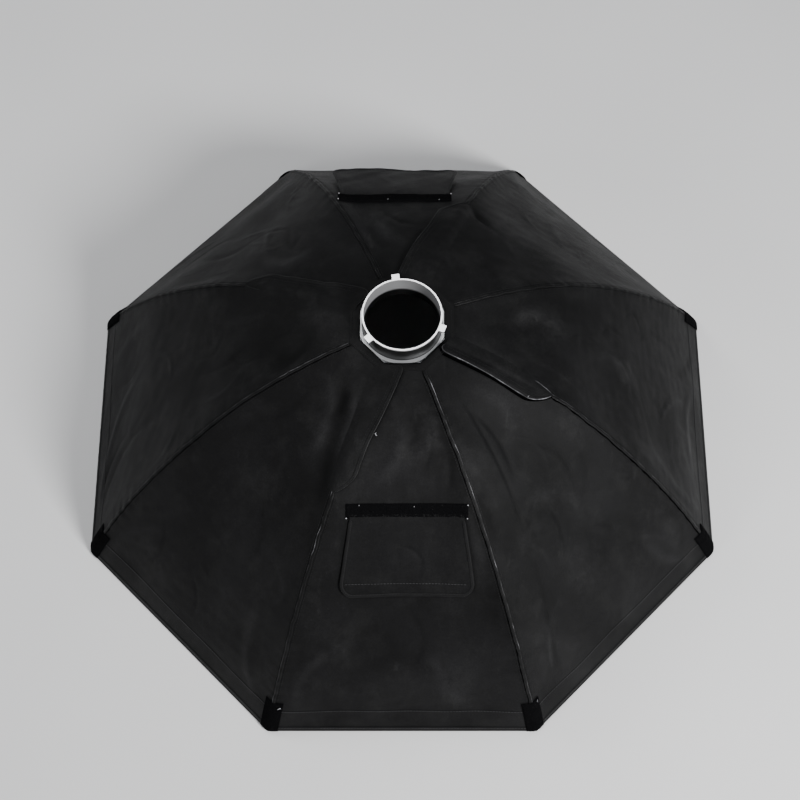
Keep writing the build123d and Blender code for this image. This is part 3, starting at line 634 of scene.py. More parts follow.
def black_cloth(name, dark, light, specular=0.1):
    """Coated black polyester: fine weave, rubbed and mottled patches, scuffs along the threads, lint, and
    painted light and shade from the mesh.
    """
    shade = Shade(name)
    mottle = shade.noise(7.0, 8.0, 0.68)
    rubbed = shade.noise(24.0, 8.0, 0.72, (1, 1, 0.45))
    scuffs = shade.noise(70.0, 6.0, 0.7, (1, 0.16, 0.5))
    base = shade.ramp(mottle, [(0.34, grey(dark, 0.04)), (0.5, grey((dark + light) / 2, 0.05)),
                               (0.66, grey(light, 0.06))])
    base = shade.over(base, shade.mask(rubbed, 0.5, 0.72), 0.6, grey(light * 1.9))
    base = shade.over(base, shade.mask(scuffs, 0.6, 0.76), 0.5, grey(light * 2.6))
    base = shade.over(base, weave(shade, 0.55 * MM, 0.12 * MM), 0.3, grey(light * 1.5))
    # Painted shade and painted highlight from the mesh's attribute, multiplied into the colour.
    painted_shade_and_tone = shade.add("ShaderNodeAttribute", attribute_name="painted_shade_and_tone").outputs["Fac"]
    painted_shade_and_tone = shade.math("ADD", shade.math("MULTIPLY", painted_shade_and_tone, 0.5), 0.5)
    shaded_tone = shade.ramp(painted_shade_and_tone, [(0.0, grey(0.12)), (0.5, grey(0.45)), (1.0, grey(1.0))])
    base = shade.mix(1.0, base, shaded_tone, "MULTIPLY")
    grain = shade.ramp(shade.noise(430.0, 5.0, 0.8), [(0.38, grey(0.55)), (0.62, grey(1.0))])
    base = shade.mix(1.0, base, grain, "MULTIPLY")
    lint = shade.mask(shade.noise(900.0, 1.0, 0.5), 0.78, 0.84)
    shade.colour(shade.over(base, lint, 0.5, grey(light * 6)))
    shade.bump(shade.noise(240.0, 5.0, 0.6), 0.25 * MM, 0.5)
    shade.bump(shade.noise(26.0, 3.0, 0.5), 0.8 * MM, 0.3)
    shade.roughness(rubbed, 0.66, 0.46)
    shade.set(Specular_IOR_Level=specular)
    return shade.material


def fuzzy(name, dark, light):
    """Hook-and-loop tape: dense pile that swallows light."""
    shade = Shade(name)
    pile = shade.noise(900.0, 3.0, 0.7)
    curls = shade.add("ShaderNodeTexVoronoi", feature="F1", Scale=810.0)
    shade.join(shade.where(), curls.inputs["Vector"])
    base = shade.ramp(pile, [(0.35, grey(dark, 0.1)), (0.75, grey(light, 0.1))])
    lint = shade.mask(shade.noise(620.0, 2.0, 0.5), 0.7, 0.8)
    shade.colour(shade.over(base, lint, 0.6, grey(min(light * 12, 0.85))))
    shade.bump(curls.outputs["Distance"], 0.7 * MM, 0.9)
    shade.bump(pile, 0.5 * MM, 0.8)
    shade.set(Roughness=0.95, Specular_IOR_Level=0.02)
    return shade.material


def ribbed(name, dark, light, pitch=0.9 * MM, uv=True):
    """Woven binding tape with ribs across it."""
    shade = Shade(name)
    ribs = shade.add("ShaderNodeTexWave", wave_type="BANDS", bands_direction="X",
                     Scale=WAVE_PERIOD / pitch, Distortion=0.4)
    shade.join(shade.where(uv=uv), ribs.inputs["Vector"])
    base = shade.ramp(shade.noise(60.0, 5.0, 0.6), [(0.3, grey(dark, 0.05)), (0.75, grey(light, 0.05))])
    shade.colour(shade.over(base, ribs.outputs["Fac"], 0.35, grey(light * 1.4)))
    shade.bump(ribs.outputs["Fac"], 0.18 * MM, 0.6)
    shade.bump(shade.noise(300.0, 3.0, 0.6), 0.12 * MM, 0.5)
    shade.set(Roughness=0.58, Specular_IOR_Level=0.12)
    return shade.material


def piping_cloth(name, pale):
    """Folded edge of a seam: satin, with rubbed stretches as pale as given, which on the pale copy are a
    painted highlight.
    """
    shade = Shade(name)
    rubbed = shade.noise(26.0, 4.0, 0.65)
    shade.colour(shade.ramp(rubbed, [(0.42, grey(0.005, 0.05)), (0.56, grey(pale * 0.22, 0.05)),
                                     (0.72, grey(pale, 0.05))]))
    shade.bump(shade.noise(500.0, 3.0, 0.6), 0.15 * MM, 0.6)
    shade.roughness(rubbed, 0.5, 0.34)
    shade.set(Specular_IOR_Level=0.2)
    return shade.material


def silver_cloth():
    """Crinkled silver coating of the lining, with dark specks in its creases."""
    shade = Shade("silver_lining")
    crinkle = shade.add("ShaderNodeTexVoronoi", feature="DISTANCE_TO_EDGE", Scale=210.0)
    bends = shade.add("ShaderNodeTexNoise", Scale=90.0).outputs["Color"]
    warped = shade.mix(0.12, shade.where(), bends, "ADD")
    shade.join(warped, crinkle.inputs["Vector"])
    grain = shade.noise(420.0, 6.0, 0.75)
    shade.colour(shade.ramp(grain, [(0.36, grey(0.16)), (0.5, grey(0.5)), (0.68, grey(0.74))]))
    shade.bump(crinkle.outputs["Distance"], 1.2 * MM, 0.55)
    shade.bump(grain, 0.5 * MM, 0.6)
    shade.roughness(grain, 0.5, 0.3)
    shade.set(Metallic=0.75, Specular_IOR_Level=0.5)
    return shade.material


def metal(name, colour, rough, metallic=1.0, grain=500.0, depth=0.08 * MM, stretch=(1, 1, 1), painted=None):
    """Metal with a fine surface grain and uneven polish.

    painted: radius, height and fade of the painted shade inside the bore; radius and height of the outer
    wall, darkened as a painted reflection of the black cloth.
    """
    shade = Shade(name)
    broad = shade.noise(30.0, 5.0, 0.55)
    fine = shade.noise(grain, 4.0, 0.6, stretch)
    base = shade.ramp(broad, [(0.3, tuple(c * 0.86 for c in colour)), (0.7, colour)])
    if painted:
        bore, shade_top, fade, wall_radius, wall_top = painted
        place = shade.add("ShaderNodeSeparateXYZ")
        shade.join(shade.where(), place.inputs[0])
        x, y, z = place.outputs
        square = shade.math("ADD", shade.math("MULTIPLY", x, x), shade.math("MULTIPLY", y, y))
        radius = shade.math("SQRT", square)
        # Painted shade: the bore goes near black below a height, with a short fade.
        inside = shade.math("LESS_THAN", radius, bore)
        low = shade.mask(shade.math("MULTIPLY", shade.math("SUBTRACT", shade_top, z), 1 / fade), 0.0, 1.0)
        base = shade.over(base, inside, low, grey(0.012))
        # Painted reflection: the outer wall under the lip is darkened as if it mirrored the black cloth.
        wall = shade.math("MULTIPLY", shade.math("GREATER_THAN", radius, wall_radius),
                          shade.math("LESS_THAN", z, wall_top))
        base = shade.mix(wall, base, grey(0.02))
    shade.colour(base)
    shade.bump(fine, depth, 0.5)
    shade.roughness(shade.math("MULTIPLY", shade.math("ADD", broad, fine), 0.5), *rough)
    shade.set(Metallic=metallic)
    return shade.material


def front_cloth():
    """White translucent diffuser cloth."""
    shade = Shade("diffuser_cloth")
    threads = weave(shade, 0.6 * MM, 0.15 * MM)
    shade.colour(shade.over(grey(0.8), threads, 0.5, grey(0.9)))
    shade.bump(shade.noise(30.0, 3.0, 0.5), 1.0 * MM, 0.3)
    shade.set(Roughness=0.8, Sheen_Weight=0.3, Subsurface_Weight=0.05, Subsurface_Scale=0.002)
    return shade.material


def net_cloth():
    """Open black net over the vents."""
    shade = Shade("vent_net")
    net = shade.math("MAXIMUM", *crossed_bands(shade, 1.6 * MM))
    shade.colour(shade.ramp(net, [(0.45, grey(0.003)), (0.75, grey(0.022))]))
    shade.bump(net, 0.4 * MM, 0.8)
    shade.set(Roughness=0.8, Specular_IOR_Level=0.1)
    return shade.material


M = {
    "shell": black_cloth("shell_cloth", 0.0056, 0.0185),
    "flap": black_cloth("flap_cloth", 0.0066, 0.019),
    "pile": fuzzy("hook_and_loop", 0.002, 0.0055),
    "white_pile": fuzzy("white_loop", 0.55, 0.8),
    "binding": ribbed("binding_tape", 0.003, 0.008),
    # Near-black cloth without shine, laid as painted shadow beside some seams and under one flap's edge.
    "shade_strip": black_cloth("painted_shadow_cloth", 0.0012, 0.003, specular=0.0),
    "welt": black_cloth("welt_cloth", 0.005, 0.012, specular=0.14),
    # Seam edge made pale along the lit side as a painted highlight, over rubbed patches.
    "painted_highlight_edge": piping_cloth("rubbed_and_highlit_edge", 0.34),
    "dull_edge": piping_cloth("seam_edge", 0.02),
    "tape": ribbed("seam_tape", 0.006, 0.012),
    "thread": ribbed("sewing_thread", 0.006, 0.018, 0.4 * MM, uv=False),
    "hem_thread": ribbed("hem_thread", 0.03, 0.09, 0.4 * MM, uv=False),
    "pale_thread": ribbed("pale_thread", 0.35, 0.6, 0.4 * MM, uv=False),
    "silver": silver_cloth(),
    "front": front_cloth(),
    "net": net_cloth(),
    "ring": metal("cast_aluminium", (0.72, 0.73, 0.74), (0.4, 0.58), 0.8, 260.0, 0.18 * MM),
    # Collar metal with painted shade in its bore and a painted reflection on its outer wall.
    "collar": metal("collar_metal", (0.78, 0.78, 0.79), (0.24, 0.36), 0.7, 420.0, 0.03 * MM, (1, 1, 0.1),
                    painted=(49.5 * MM, 354 * MM, 4 * MM, 50.4 * MM, 372.3 * MM)),
    "steel": metal("rod_steel", (0.36, 0.36, 0.37), (0.28, 0.5), 1.0, 700.0),
    "screw": metal("zinc_screw", (0.66, 0.67, 0.69), (0.2, 0.4), 1.0, 600.0),
    "rubber": metal("cap_rubber", (0.02, 0.02, 0.02), (0.6, 0.8), 0.0, 300.0),
}

# ---- Camera, floor and lights -------------------------------------------------------------------
CAMERA_DISTANCE = 2.545
CAMERA_ELEVATION = radians(66.3)
LENS_MM = 78.8
SHIFT = (-0.0027, 0.0426)


def make_camera():
    """Camera at the photograph's viewing angle, aimed at the rim's centre."""
    data = bpy.data.cameras.new("camera")
    data.lens, data.sensor_width = LENS_MM, 36.0
    data.shift_x, data.shift_y = SHIFT
    data.clip_start, data.clip_end = 0.05, 50
    camera = bpy.data.objects.new("camera", data)
    camera.location = (0, -CAMERA_DISTANCE * cos(CAMERA_ELEVATION), CAMERA_DISTANCE * sin(CAMERA_ELEVATION))
    camera.rotation_euler = (pi / 2 - CAMERA_ELEVATION, 0, 0)
    bpy.context.scene.collection.objects.link(camera)
    bpy.context.scene.camera = camera


def make_floor():
    """Plain pale studio floor."""
    shade = Shade("floor_paper")
    shade.colour(shade.ramp(shade.noise(3.0, 2.0, 0.4), [(0.3, grey(0.72)), (0.7, grey(0.75))]))
    shade.set(Roughness=0.85)
    corners = [(-6, -6, 0), (6, -6, 0), (6, 6, 0), (-6, 6, 0)]
    floor = make_object("floor", corners, [(0, 1, 2, 3)], shade.material)
    floor.location.z = -0.3 * MM


def area_light(name, azimuth, elevation, distance, size, power):
    """Soft light that looks at the softbox from an azimuth and elevation in degrees."""
    data = bpy.data.lights.new(name, "AREA")
    data.shape, data.size, data.energy = "DISK", size, power
    light = bpy.data.objects.new(name, data)
    a, e = radians(azimuth), radians(elevation)
    place = Vector((cos(a) * cos(e), sin(a) * cos(e), sin(e))) * distance
    light.location = place + Vector((0, 0, 0.15))
    light.rotation_euler = place.to_track_quat("Z", "Y").to_euler()
    bpy.context.scene.collection.objects.link(light)


def make_lights():
    """Pale even surroundings, a key light on the right and three weaker ones."""
    world = bpy.data.worlds.new("studio")
    world.use_nodes = True
    world.node_tree.nodes["Background"].inputs["Color"].default_value = (0.9, 0.93, 1.0, 1)
    world.node_tree.nodes["Background"].inputs["Strength"].default_value = 0.2
    bpy.context.scene.world = world
    area_light("key_right", -44, 40, 2.6, 0.7, 90)
    area_light("rim_left", 146, 46, 2.8, 0.8, 15)
    area_light("fill_left", 212, 34, 2.8, 1.0, 15)
    area_light("top_fill", 90, 70, 3.0, 1.2, 24)


make_camera()
make_floor()
make_lights()

# ---- Shell and lining ---------------------------------------------------------------------------
ROWS, COLS = ((200, 130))
BOTTOM = s_at_height(0.8 * MM)


def spaced_across(count):
    """Shares across a panel from -1 to 1, closer together near the ribs."""
    u = np.linspace(-1, 1, count)
    return 0.55 * u + 0.45 * (1.5 * u - 0.5 * u ** 3)


WINDOW_CORNER = 10 * MM
WINDOW_TAPE_HALF = 3.4 * MM
NET_MARGIN = 3 * MM                      # net beyond the window's edge, under the tape


def window_size(place):
    """Half width of a vent's window, and the lengths at its top and low edges."""
    low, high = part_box(f"vent_mesh_{place}")
    return (high[0] - low[0]) / 2, s_at_height(high[2]), s_at_height(low[2])


def window(s, x, place):
    """True inside a vent's window."""
    half_width, s_top, s_low = window_size(place)
    middle, half_height = (s_top + s_low) / 2, (s_low - s_top) / 2
    reach_x = np.clip(np.abs(x - VENTS[place][1]) - half_width + WINDOW_CORNER, 0, None)
    reach_s = np.clip(np.abs(s - middle) - half_height + WINDOW_CORNER, 0, None)
    return np.hypot(reach_x, reach_s) < WINDOW_CORNER


def cloth_panel(name, panel, rows, cols, depth, thick, material, nodes, top=0.0):
    """One sewn panel of shell or lining, with a hole if it has a vent."""
    s = np.linspace(top, BOTTOM, rows)
    s = np.sort(np.append(s, HEM_S + np.array([-1.2, -0.6, 0, 0.6, 1.2]) * MM))[:, None]
    x = spaced_across(cols)[None, :] * outline(s)[0] * SPREAD
    s, x = np.broadcast_arrays(s, x)
    outer, inner = on_panel(panel, s, x, -depth), on_panel(panel, s, x, -depth - thick)
    keep = None
    for place, (vented, _, _) in VENTS.items():
        if vented == panel:
            middle_s = (s[1:, 1:] + s[:-1, :-1]) / 2
            middle_x = (x[1:, 1:] + x[:-1, :-1]) / 2
            keep = ~window(middle_s, middle_x, place)
    # Painted shade and highlight of the folds, ribs and flaps, with random tone.
    painted_shade_and_tone = CLOTH.painted_shade_and_tone(panel, s, x, outline(s)[0] * SPREAD)
    piece = closed_sheet(name, outer, inner, material, np.stack([x, s], -1), keep, painted_shade_and_tone=painted_shade_and_tone)
    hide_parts(*nodes)
    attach(piece, "softbox")


for number in range(SIDES):
    coarser = 1 if number in [vent[0] for vent in VENTS.values()] else 2
    cloth_panel(f"outer_panel_{number + 1}", number, ROWS, COLS, 0, SHELL_THICK, M["shell"],
                [f"shell_panel_{number + 1}"])
    cloth_panel(f"inner_panel_{number + 1}", number, ROWS // coarser, COLS // coarser, LINING_DEPTH,
                LINING_THICK, M["silver"], [f"lining_panel_{number + 1}"], top=3 * MM)


def round_edge(name, path, thick, material, node, per_side=30, pull=None):
    """Binding swept round the octagon: path is (apothem, height) points across the tape.

    pull gives each panel's extra apothem, and how much of it each point of the path takes.
    """
    shares = np.concatenate([np.linspace(-1, 1, per_side, endpoint=False) for _ in range(SIDES)])
    panels = np.repeat(np.arange(SIDES), per_side)
    path = np.asarray(path, float)
    tangent = np.gradient(path, axis=0)
    tangent /= np.linalg.norm(tangent, axis=1, keepdims=True)
    side = np.stack([-tangent[:, 1], tangent[:, 0]], -1) * thick / 2
    grids = []
    extra, take = 0 * shares, np.zeros(len(path))
    if pull is not None:
        turns = np.arange(len(shares)) / per_side
        extra = np.interp(turns, np.arange(SIDES) + 0.5, pull[0], period=SIDES)
        take = np.asarray(pull[1])
    for section in (path + side, path - side):
        radius = section[:, 0][:, None] + take[:, None] * extra[None, :]
        points = np.stack([radius, shares[None] * radius * SPREAD,
                           np.broadcast_to(section[:, 1][:, None], radius.shape)], -1)
        c, s = np.cos(panels * 2 * HALF)[None], np.sin(panels * 2 * HALF)[None]
        grids.append(np.stack([points[..., 0] * c - points[..., 1] * s,
                               points[..., 0] * s + points[..., 1] * c, points[..., 2]], -1))
    along = np.arange(len(shares)) * 2 * RIM_APOTHEM * SPREAD / per_side
    across = lengths_along(path)
    uv = np.stack(np.broadcast_arrays(along[None, :], across[:, None]), -1)
    piece = closed_sheet(name, grids[0], grids[1], material, uv, wrap=True)
    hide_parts(node)
    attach(piece, "softbox")


def section_point(s, lift):
    """Apothem and height of a point at length s, lifted from the outer face."""
    apothem, height, slope = outline(s)
    return float(apothem + lift * np.sin(slope)), float(height + lift * np.cos(slope))


def rim_path():
    """Binding over the rim's edge and the hem inside it, from the outside round to the hem's top."""
    outside = [section_point(s_at_height(h * MM), 0.45 * MM) for h in (8.5, 6, 4, 2.2)]
    low = section_point(s_at_height(1.2 * MM), -1.2 * MM)
    turn = [(low[0] + 1.55 * MM * cos(a), 1.75 * MM + 1.35 * MM * sin(a))
            for a in np.radians([-20, -55, -90, -125, -160])]
    inside = [section_point(s_at_height(h * MM), -HEM_DEPTH) for h in (3.4, 7, 14, 22, 30, HEM_HEIGHT / MM)]
    return outside + turn + inside


round_edge("rim_hem", rim_path(), 0.7 * MM, M["binding"], "rim_binding")


def neck_path():
    """Binding over the neck's edge and on to the ring's hub."""
    outside = [section_point(s * MM, 0.5 * MM) for s in (9, 7, 5, 3, 1.2)]
    edge = [(NECK_APOTHEM - 0.6 * MM, NECK_TOP + 0.35 * MM), (NECK_APOTHEM - 1.6 * MM, NECK_TOP + 0.1 * MM),
            (54.6 * MM, NECK_TOP - 0.05 * MM), (54.0 * MM, NECK_TOP - 0.2 * MM)]
    return outside + edge


# Extra apothem of the neck's edge on each panel, and the share of it that each point of the path takes
NECK_PULL = ([-0.9 * MM, 0, 0, 0, -0.8 * MM, 0.2 * MM, 2.0 * MM, 0.4 * MM], [0, 0, 0, 0, 0, 0, 0.5, 1, 1])
round_edge("neck_binding", neck_path(), 0.7 * MM, M["welt"], "neck_hem", 12, NECK_PULL)

# ---- Seams on the ribs --------------------------------------------------------------------------
TAB_TOP = s_at_height(50.5 * MM)


def rib_normals(rib, s):
    """Outward normals on a rib."""
    slope = outline(s)[2]
    flat = np.stack([np.sin(slope) / cos(HALF), 0 * slope, np.cos(slope)], -1)
    flat /= np.linalg.norm(flat, axis=-1, keepdims=True)
    return turned(flat, (rib + 0.5) * 2 * HALF)


# By rib number: the side whose edge takes a painted highlight, and the half width of a near-black strip of
# painted shadow opposite it
PAINTED_HIGHLIGHT_SIDE = {5: -1, 6: -1, 7: 1, 8: 1}
SEAM_SHADOW_HALF = {5: 0.55 * MM, 7: 0.6 * MM, 8: 1.2 * MM}
# Distances from the rib
WELT_HALF = 1.9 * MM
WELT_EDGE = 1.75 * MM
SEAM_SHADOW_OUT = 2.6 * MM
SEAM_STITCH_OUT = 5.2 * MM


def rib_seam(rib):
    """Felled seam on a rib: a welt with two edges, on some ribs a painted highlight on one edge and a strip
    of painted shadow on the other side, and stitches each side.
    """
    name = f"rib_{rib + 1}"
    start = ACCESS_START + ACCESS[rib + 1][3] - 3 * MM if rib + 1 in ACCESS else 10 * MM
    s = np.arange(start, TAB_TOP + 6 * MM, 2.5 * MM)
    rng = np.random.default_rng(200 + rib)
    wobble, swell = waves(rng, 5, 18 * MM, 70 * MM), waves(rng, 5, 12 * MM, 40 * MM)
    x = 0.3 * MM * wobble(s, 0 * s)
    normals = rib_normals(rib, s)
    welt = strand(f"{name}_welt", near_rib(rib, s, x, 0.35 * MM), normals,
                  WELT_HALF + 0.2 * MM * swell(s, 0 * s), 0.85 * MM, M["welt"], 10, 0.8)
    pieces = [welt]
    for side in (-1, 1):
        path = near_rib(rib, s, x + side * WELT_EDGE, 0.5 * MM)
        # On some ribs one edge takes the pale copy of the seam edge, a painted highlight.
        edge = M["painted_highlight_edge" if PAINTED_HIGHLIGHT_SIDE.get(rib + 1) == side else "dull_edge"]
        pieces.append(strand(f"{name}_edge_{'ab'[side > 0]}", path, normals, 0.42 * MM, 0.42 * MM, edge, 6))
    # A near-black strip laid beside the welt as painted shadow.
    if rib + 1 in SEAM_SHADOW_HALF:
        path = near_rib(rib, s, x - PAINTED_HIGHLIGHT_SIDE[rib + 1] * SEAM_SHADOW_OUT, 0.2 * MM)
        wide = SEAM_SHADOW_HALF[rib + 1] * (1 + 0.35 * swell(s, 0 * s))
        pieces.append(strand(f"{name}_seam_shadow", path, normals, wide, 0.4 * MM, M["shade_strip"], 6))
    lines = []
    for side in (-1, 1):
        stitch_s = np.arange(start + 4 * MM, TAB_TOP, 2 * MM)
        lines.append((near_rib(rib, stitch_s, side * SEAM_STITCH_OUT, 0.05 * MM), rib_normals(rib, stitch_s)))
    pieces.append(stitches(f"{name}_stitches", lines, M["thread"]))
    for piece in pieces:
        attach(piece, "softbox")


def sewn_across(panel, s, inset, count, lift):
    """Line for stitches across a panel at length s, a distance short of the ribs."""
    half = outline(s)[0] * SPREAD - inset
    path = on_panel(panel, s, np.linspace(-half, half, count), lift)
    return path, np.broadcast_to(panel_normals(panel, s), (count, 3))


def hem_stitches():
    """Rows of stitches that hold the hem and its binding, on every panel, and one round the neck."""
    lines, neck = [], []
    hem, low, near = s_at_height(HEM_HEIGHT - 1.5 * MM), s_at_height(6.5 * MM), 6 * MM
    for panel in range(SIDES):
        lines.append(sewn_across(panel, hem, 9 * MM, 120, 0.05 * MM))
        lines.append(sewn_across(panel, low, 9 * MM, 120, 0.85 * MM))
        neck.append(sewn_across(panel, near, 2 * MM, 30, 0.9 * MM))
    at_hem = stitches("hem_stitches", lines, M["hem_thread"])
    at_neck = stitches("neck_stitches", neck, M["thread"])
    for piece in (at_hem, at_neck):
        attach(piece, "softbox")


for number in range(SIDES):
    rib_seam(number)
hem_stitches()

# ---- Vents: strip, flap, net --------------------------------------------------------------------
def pile_relief(shape, seed, height):
    """Small random unevenness of a pile's surface."""
    return np.random.default_rng(seed).normal(0, height, shape)


def pile_grid(name, place, rows, cols, base_lift, thick, seed, uv):
    """Strip of hook-and-loop: place(row share, column share, lift) gives points; the edges are ragged."""
    u, v = np.meshgrid(np.linspace(0, 1, rows), np.linspace(0, 1, cols), indexing="ij")
    edge = np.minimum(np.minimum(u, 1 - u) * (rows - 1), np.minimum(v, 1 - v) * (cols - 1))
    dome = smooth(edge, -0.5, 2.0)
    top = place(u, v, base_lift + thick * (0.35 + 0.65 * dome) + pile_relief(u.shape, seed, 0.16 * MM))
    low = place(u, v, base_lift + 0 * u)
    return closed_sheet(name, top, low, M["pile"], uv(u, v))


def fibres(name, centres, normals, material, seed, length=1.1 * MM, spread=0.9):
    """Loose fibres that stand out of a pile, each a thin bent sliver."""
    rng = np.random.default_rng(seed)
    points, faces = [], []
    for centre, normal in zip(centres, normals):
        side = rng.normal(0, 1, 3)
        lean = normal + spread * side / np.linalg.norm(side)
        lean /= np.linalg.norm(lean)
        across = np.cross(lean, rng.normal(0, 1, 3))
        across *= 0.05 * MM / np.linalg.norm(across)
        long = length * rng.uniform(0.5, 1.3)
        bend = rng.normal(0, 0.25, 3) * long
        middle, tip = centre + lean * long * 0.55, centre + lean * long + bend
        third = np.cross(lean, across)
        start = len(points)
        for place, size in ((centre, 1.0), (middle, 0.9)):
            for turn in (0, 2 * pi / 3, 4 * pi / 3):
                points.append(place + (across * cos(turn) + third * sin(turn)) * size)
        points.append(tip)
        for k in range(3):
            n = (k + 1) % 3
            faces.append([start + k, start + n, start + 3 + n, start + 3 + k])
            faces.append([start + 3 + k, start + 3 + n, start + 6])
        faces.append([start + 2, start + 1, start])
    return make_object(name, np.array(points), faces, material)


def vent_strip(place, panel, shift):
    """Hook-and-loop strip across a vent panel, its loose fibres and its corner threads."""
    def at(u, v, lift):
        across = shift + (2 * v - 1) * STRIP_HALF
        return on_panel(panel, STRIP_TOP + u * STRIP_HEIGHT, across, lift + STRIP_RISE[place] * u)

    def uv(u, v):
        return np.stack([v * 2 * STRIP_HALF, u * STRIP_HEIGHT], -1)

    cols = 150
    strip = pile_grid(f"vent_{place}_strip", at, 20, cols, 0.0, 2.0 * MM, 7, uv)
    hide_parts(f"vent_strip_{place}")
    rng = np.random.default_rng(60 + panel)
    count = 1500
    u, v = rng.uniform(0.0, 1.0, (2, count))
    on_edge = rng.uniform(0, 1, count) < 0.45
    u = np.where(on_edge, np.round(u), u)
    hairs = fibres(f"vent_{place}_strip_pile", at(u, v, 1.7 * MM - 1.0 * MM * on_edge),
                   panel_normals(panel, STRIP_TOP + u * STRIP_HEIGHT), M["pile"], 61 + panel)
    knots = []
    for u, v in ((0.06, 0.995), (0.97, 0.99), (0.97, 0.005), (0.1, 0.11), (0.2, 0.56)):
        at_corner = v > 0.9 or v < 0.1
        knots.append((at(u, v, 2.2 * MM), 0.75 * MM if at_corner else 0.5 * MM))
    specks = thread_knots(f"vent_{place}_thread_ends", knots, 70 + panel)
    for piece in (strip, hairs, specks):
        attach(piece, "softbox")


def thread_knots(name, knots, seed):
    """Tiny pale knots of sewing thread: small lumps."""
    rng = np.random.default_rng(seed)
    work = bmesh.new()
    for centre, radius in knots:
        made = bmesh.ops.create_icosphere(work, subdivisions=2, radius=radius)
        for vert in made["verts"]:
            vert.co *= 1 + rng.normal(0, 0.18)
            vert.co += Vector(centre)
    mesh = bpy.data.meshes.new(name)
    work.to_mesh(mesh)
    work.free()
    mesh.polygons.foreach_set("use_smooth", [True] * len(mesh.polygons))
    mesh.materials.append(M["pale_thread"])
    piece = bpy.data.objects.new(name, mesh)
    bpy.context.scene.collection.objects.link(piece)
    return piece


def vent_flap(place, panel, shift, tilt):
    """Vent flap with its bound edge and stitches, its top edge under the strip."""
    body = f"vent_flap_{place}"
    rng = np.random.default_rng(90 + panel)
    ripple, curl = waves(rng, 6, 30 * MM, 90 * MM), waves(rng, 4, 60 * MM, 140 * MM)

    def lift_at(along, x):
        free = smooth(along, 10 * MM, 100 * MM)
        edge = smooth(np.abs(x) / flap_half_width(np.clip(along, 0, FLAP_LENGTH - 1 * MM)), 0.6, 1.0)
        shape = 0.9 + 0.35 * free * ripple(x, along) + 1.3 * free * edge * (0.6 + 0.4 * curl(x, along))
        return shape * MM + np.clip(along, 0, None) * tan(tilt)

    rows = np.concatenate([np.linspace(-FLAP_ROOT, FLAP_LENGTH - FLAP_CORNER, 46, endpoint=False),
                           FLAP_LENGTH - FLAP_CORNER * (1 - np.sin(np.linspace(0, pi / 2, 16)))])
    v = np.linspace(-1, 1, 72)
    along = np.broadcast_to(rows[:, None], (len(rows), len(v)))
    x = v[None, :] * flap_half_width(np.clip(rows, 0, FLAP_LENGTH))[:, None]
    lift = lift_at(along, x)
    top = on_panel(panel, FLAP_TOP + along, x + shift, lift + FLAP_THICK)
    low = on_panel(panel, FLAP_TOP + along, x + shift, lift)
    sheet = closed_sheet(f"{body}_cloth", top, low, M["flap"], np.stack([x, along], -1))
    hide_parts(body)

    def edge_line(inset):
        """Outline of the flap, inset from its edge, from the top left round to the top right."""
        grid = rows[(rows >= 0) & (rows <= FLAP_LENGTH - inset)]
        grid = np.append(grid, FLAP_LENGTH - inset)
        half = flap_half_width(grid) - inset
        left = np.stack([grid, -half], -1)
        across = np.linspace(-half[-1], half[-1], 60)[1:-1]
        bottom = np.stack([np.full_like(across, FLAP_LENGTH - inset), across], -1)
        line = np.concatenate([left, bottom, left[::-1] * (1, -1)])
        long = lengths_along(line)
        at = np.linspace(0, long[-1], int(long[-1] / (2.2 * MM)))
        return np.interp(at, long, line[:, 0]), np.interp(at, long, line[:, 1])

    a, x = edge_line(1.2 * MM)
    path = on_panel(panel, FLAP_TOP + a, x + shift, lift_at(a, x) + FLAP_THICK / 2)
    binding = strand(f"{body}_binding", path, panel_normals(panel, FLAP_TOP + a), 2.4 * MM, 1.15 * MM,
                     M["binding"], 10, 0.6)
    a, x = edge_line(2.6 * MM)
    path = on_panel(panel, FLAP_TOP + a, x + shift, lift_at(a, x) + FLAP_THICK + 0.65 * MM)
    sewing = stitches(f"{body}_stitches", [(path, panel_normals(panel, FLAP_TOP + a))], M["thread"])
    a = FLAP_LENGTH - FLAP_HEM
    x = np.linspace(-1, 1, 120) * (flap_half_width(a) - 6 * MM)
    line = (on_panel(panel, FLAP_TOP + a, x + shift, lift_at(a, x) + FLAP_THICK + 0.05 * MM),
            np.broadcast_to(panel_normals(panel, FLAP_TOP + a), (120, 3)))
    hem = stitches(f"{body}_hem_stitches", [line], M["hem_thread"])
    hinge = on_panel(panel, FLAP_TOP - 1.5 * MM, shift, 1.5 * MM)
    below = on_panel(panel, FLAP_TOP + 5 * MM, shift, 1.5 * MM)
    for piece in (sheet, binding, sewing, hem):
        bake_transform(piece)


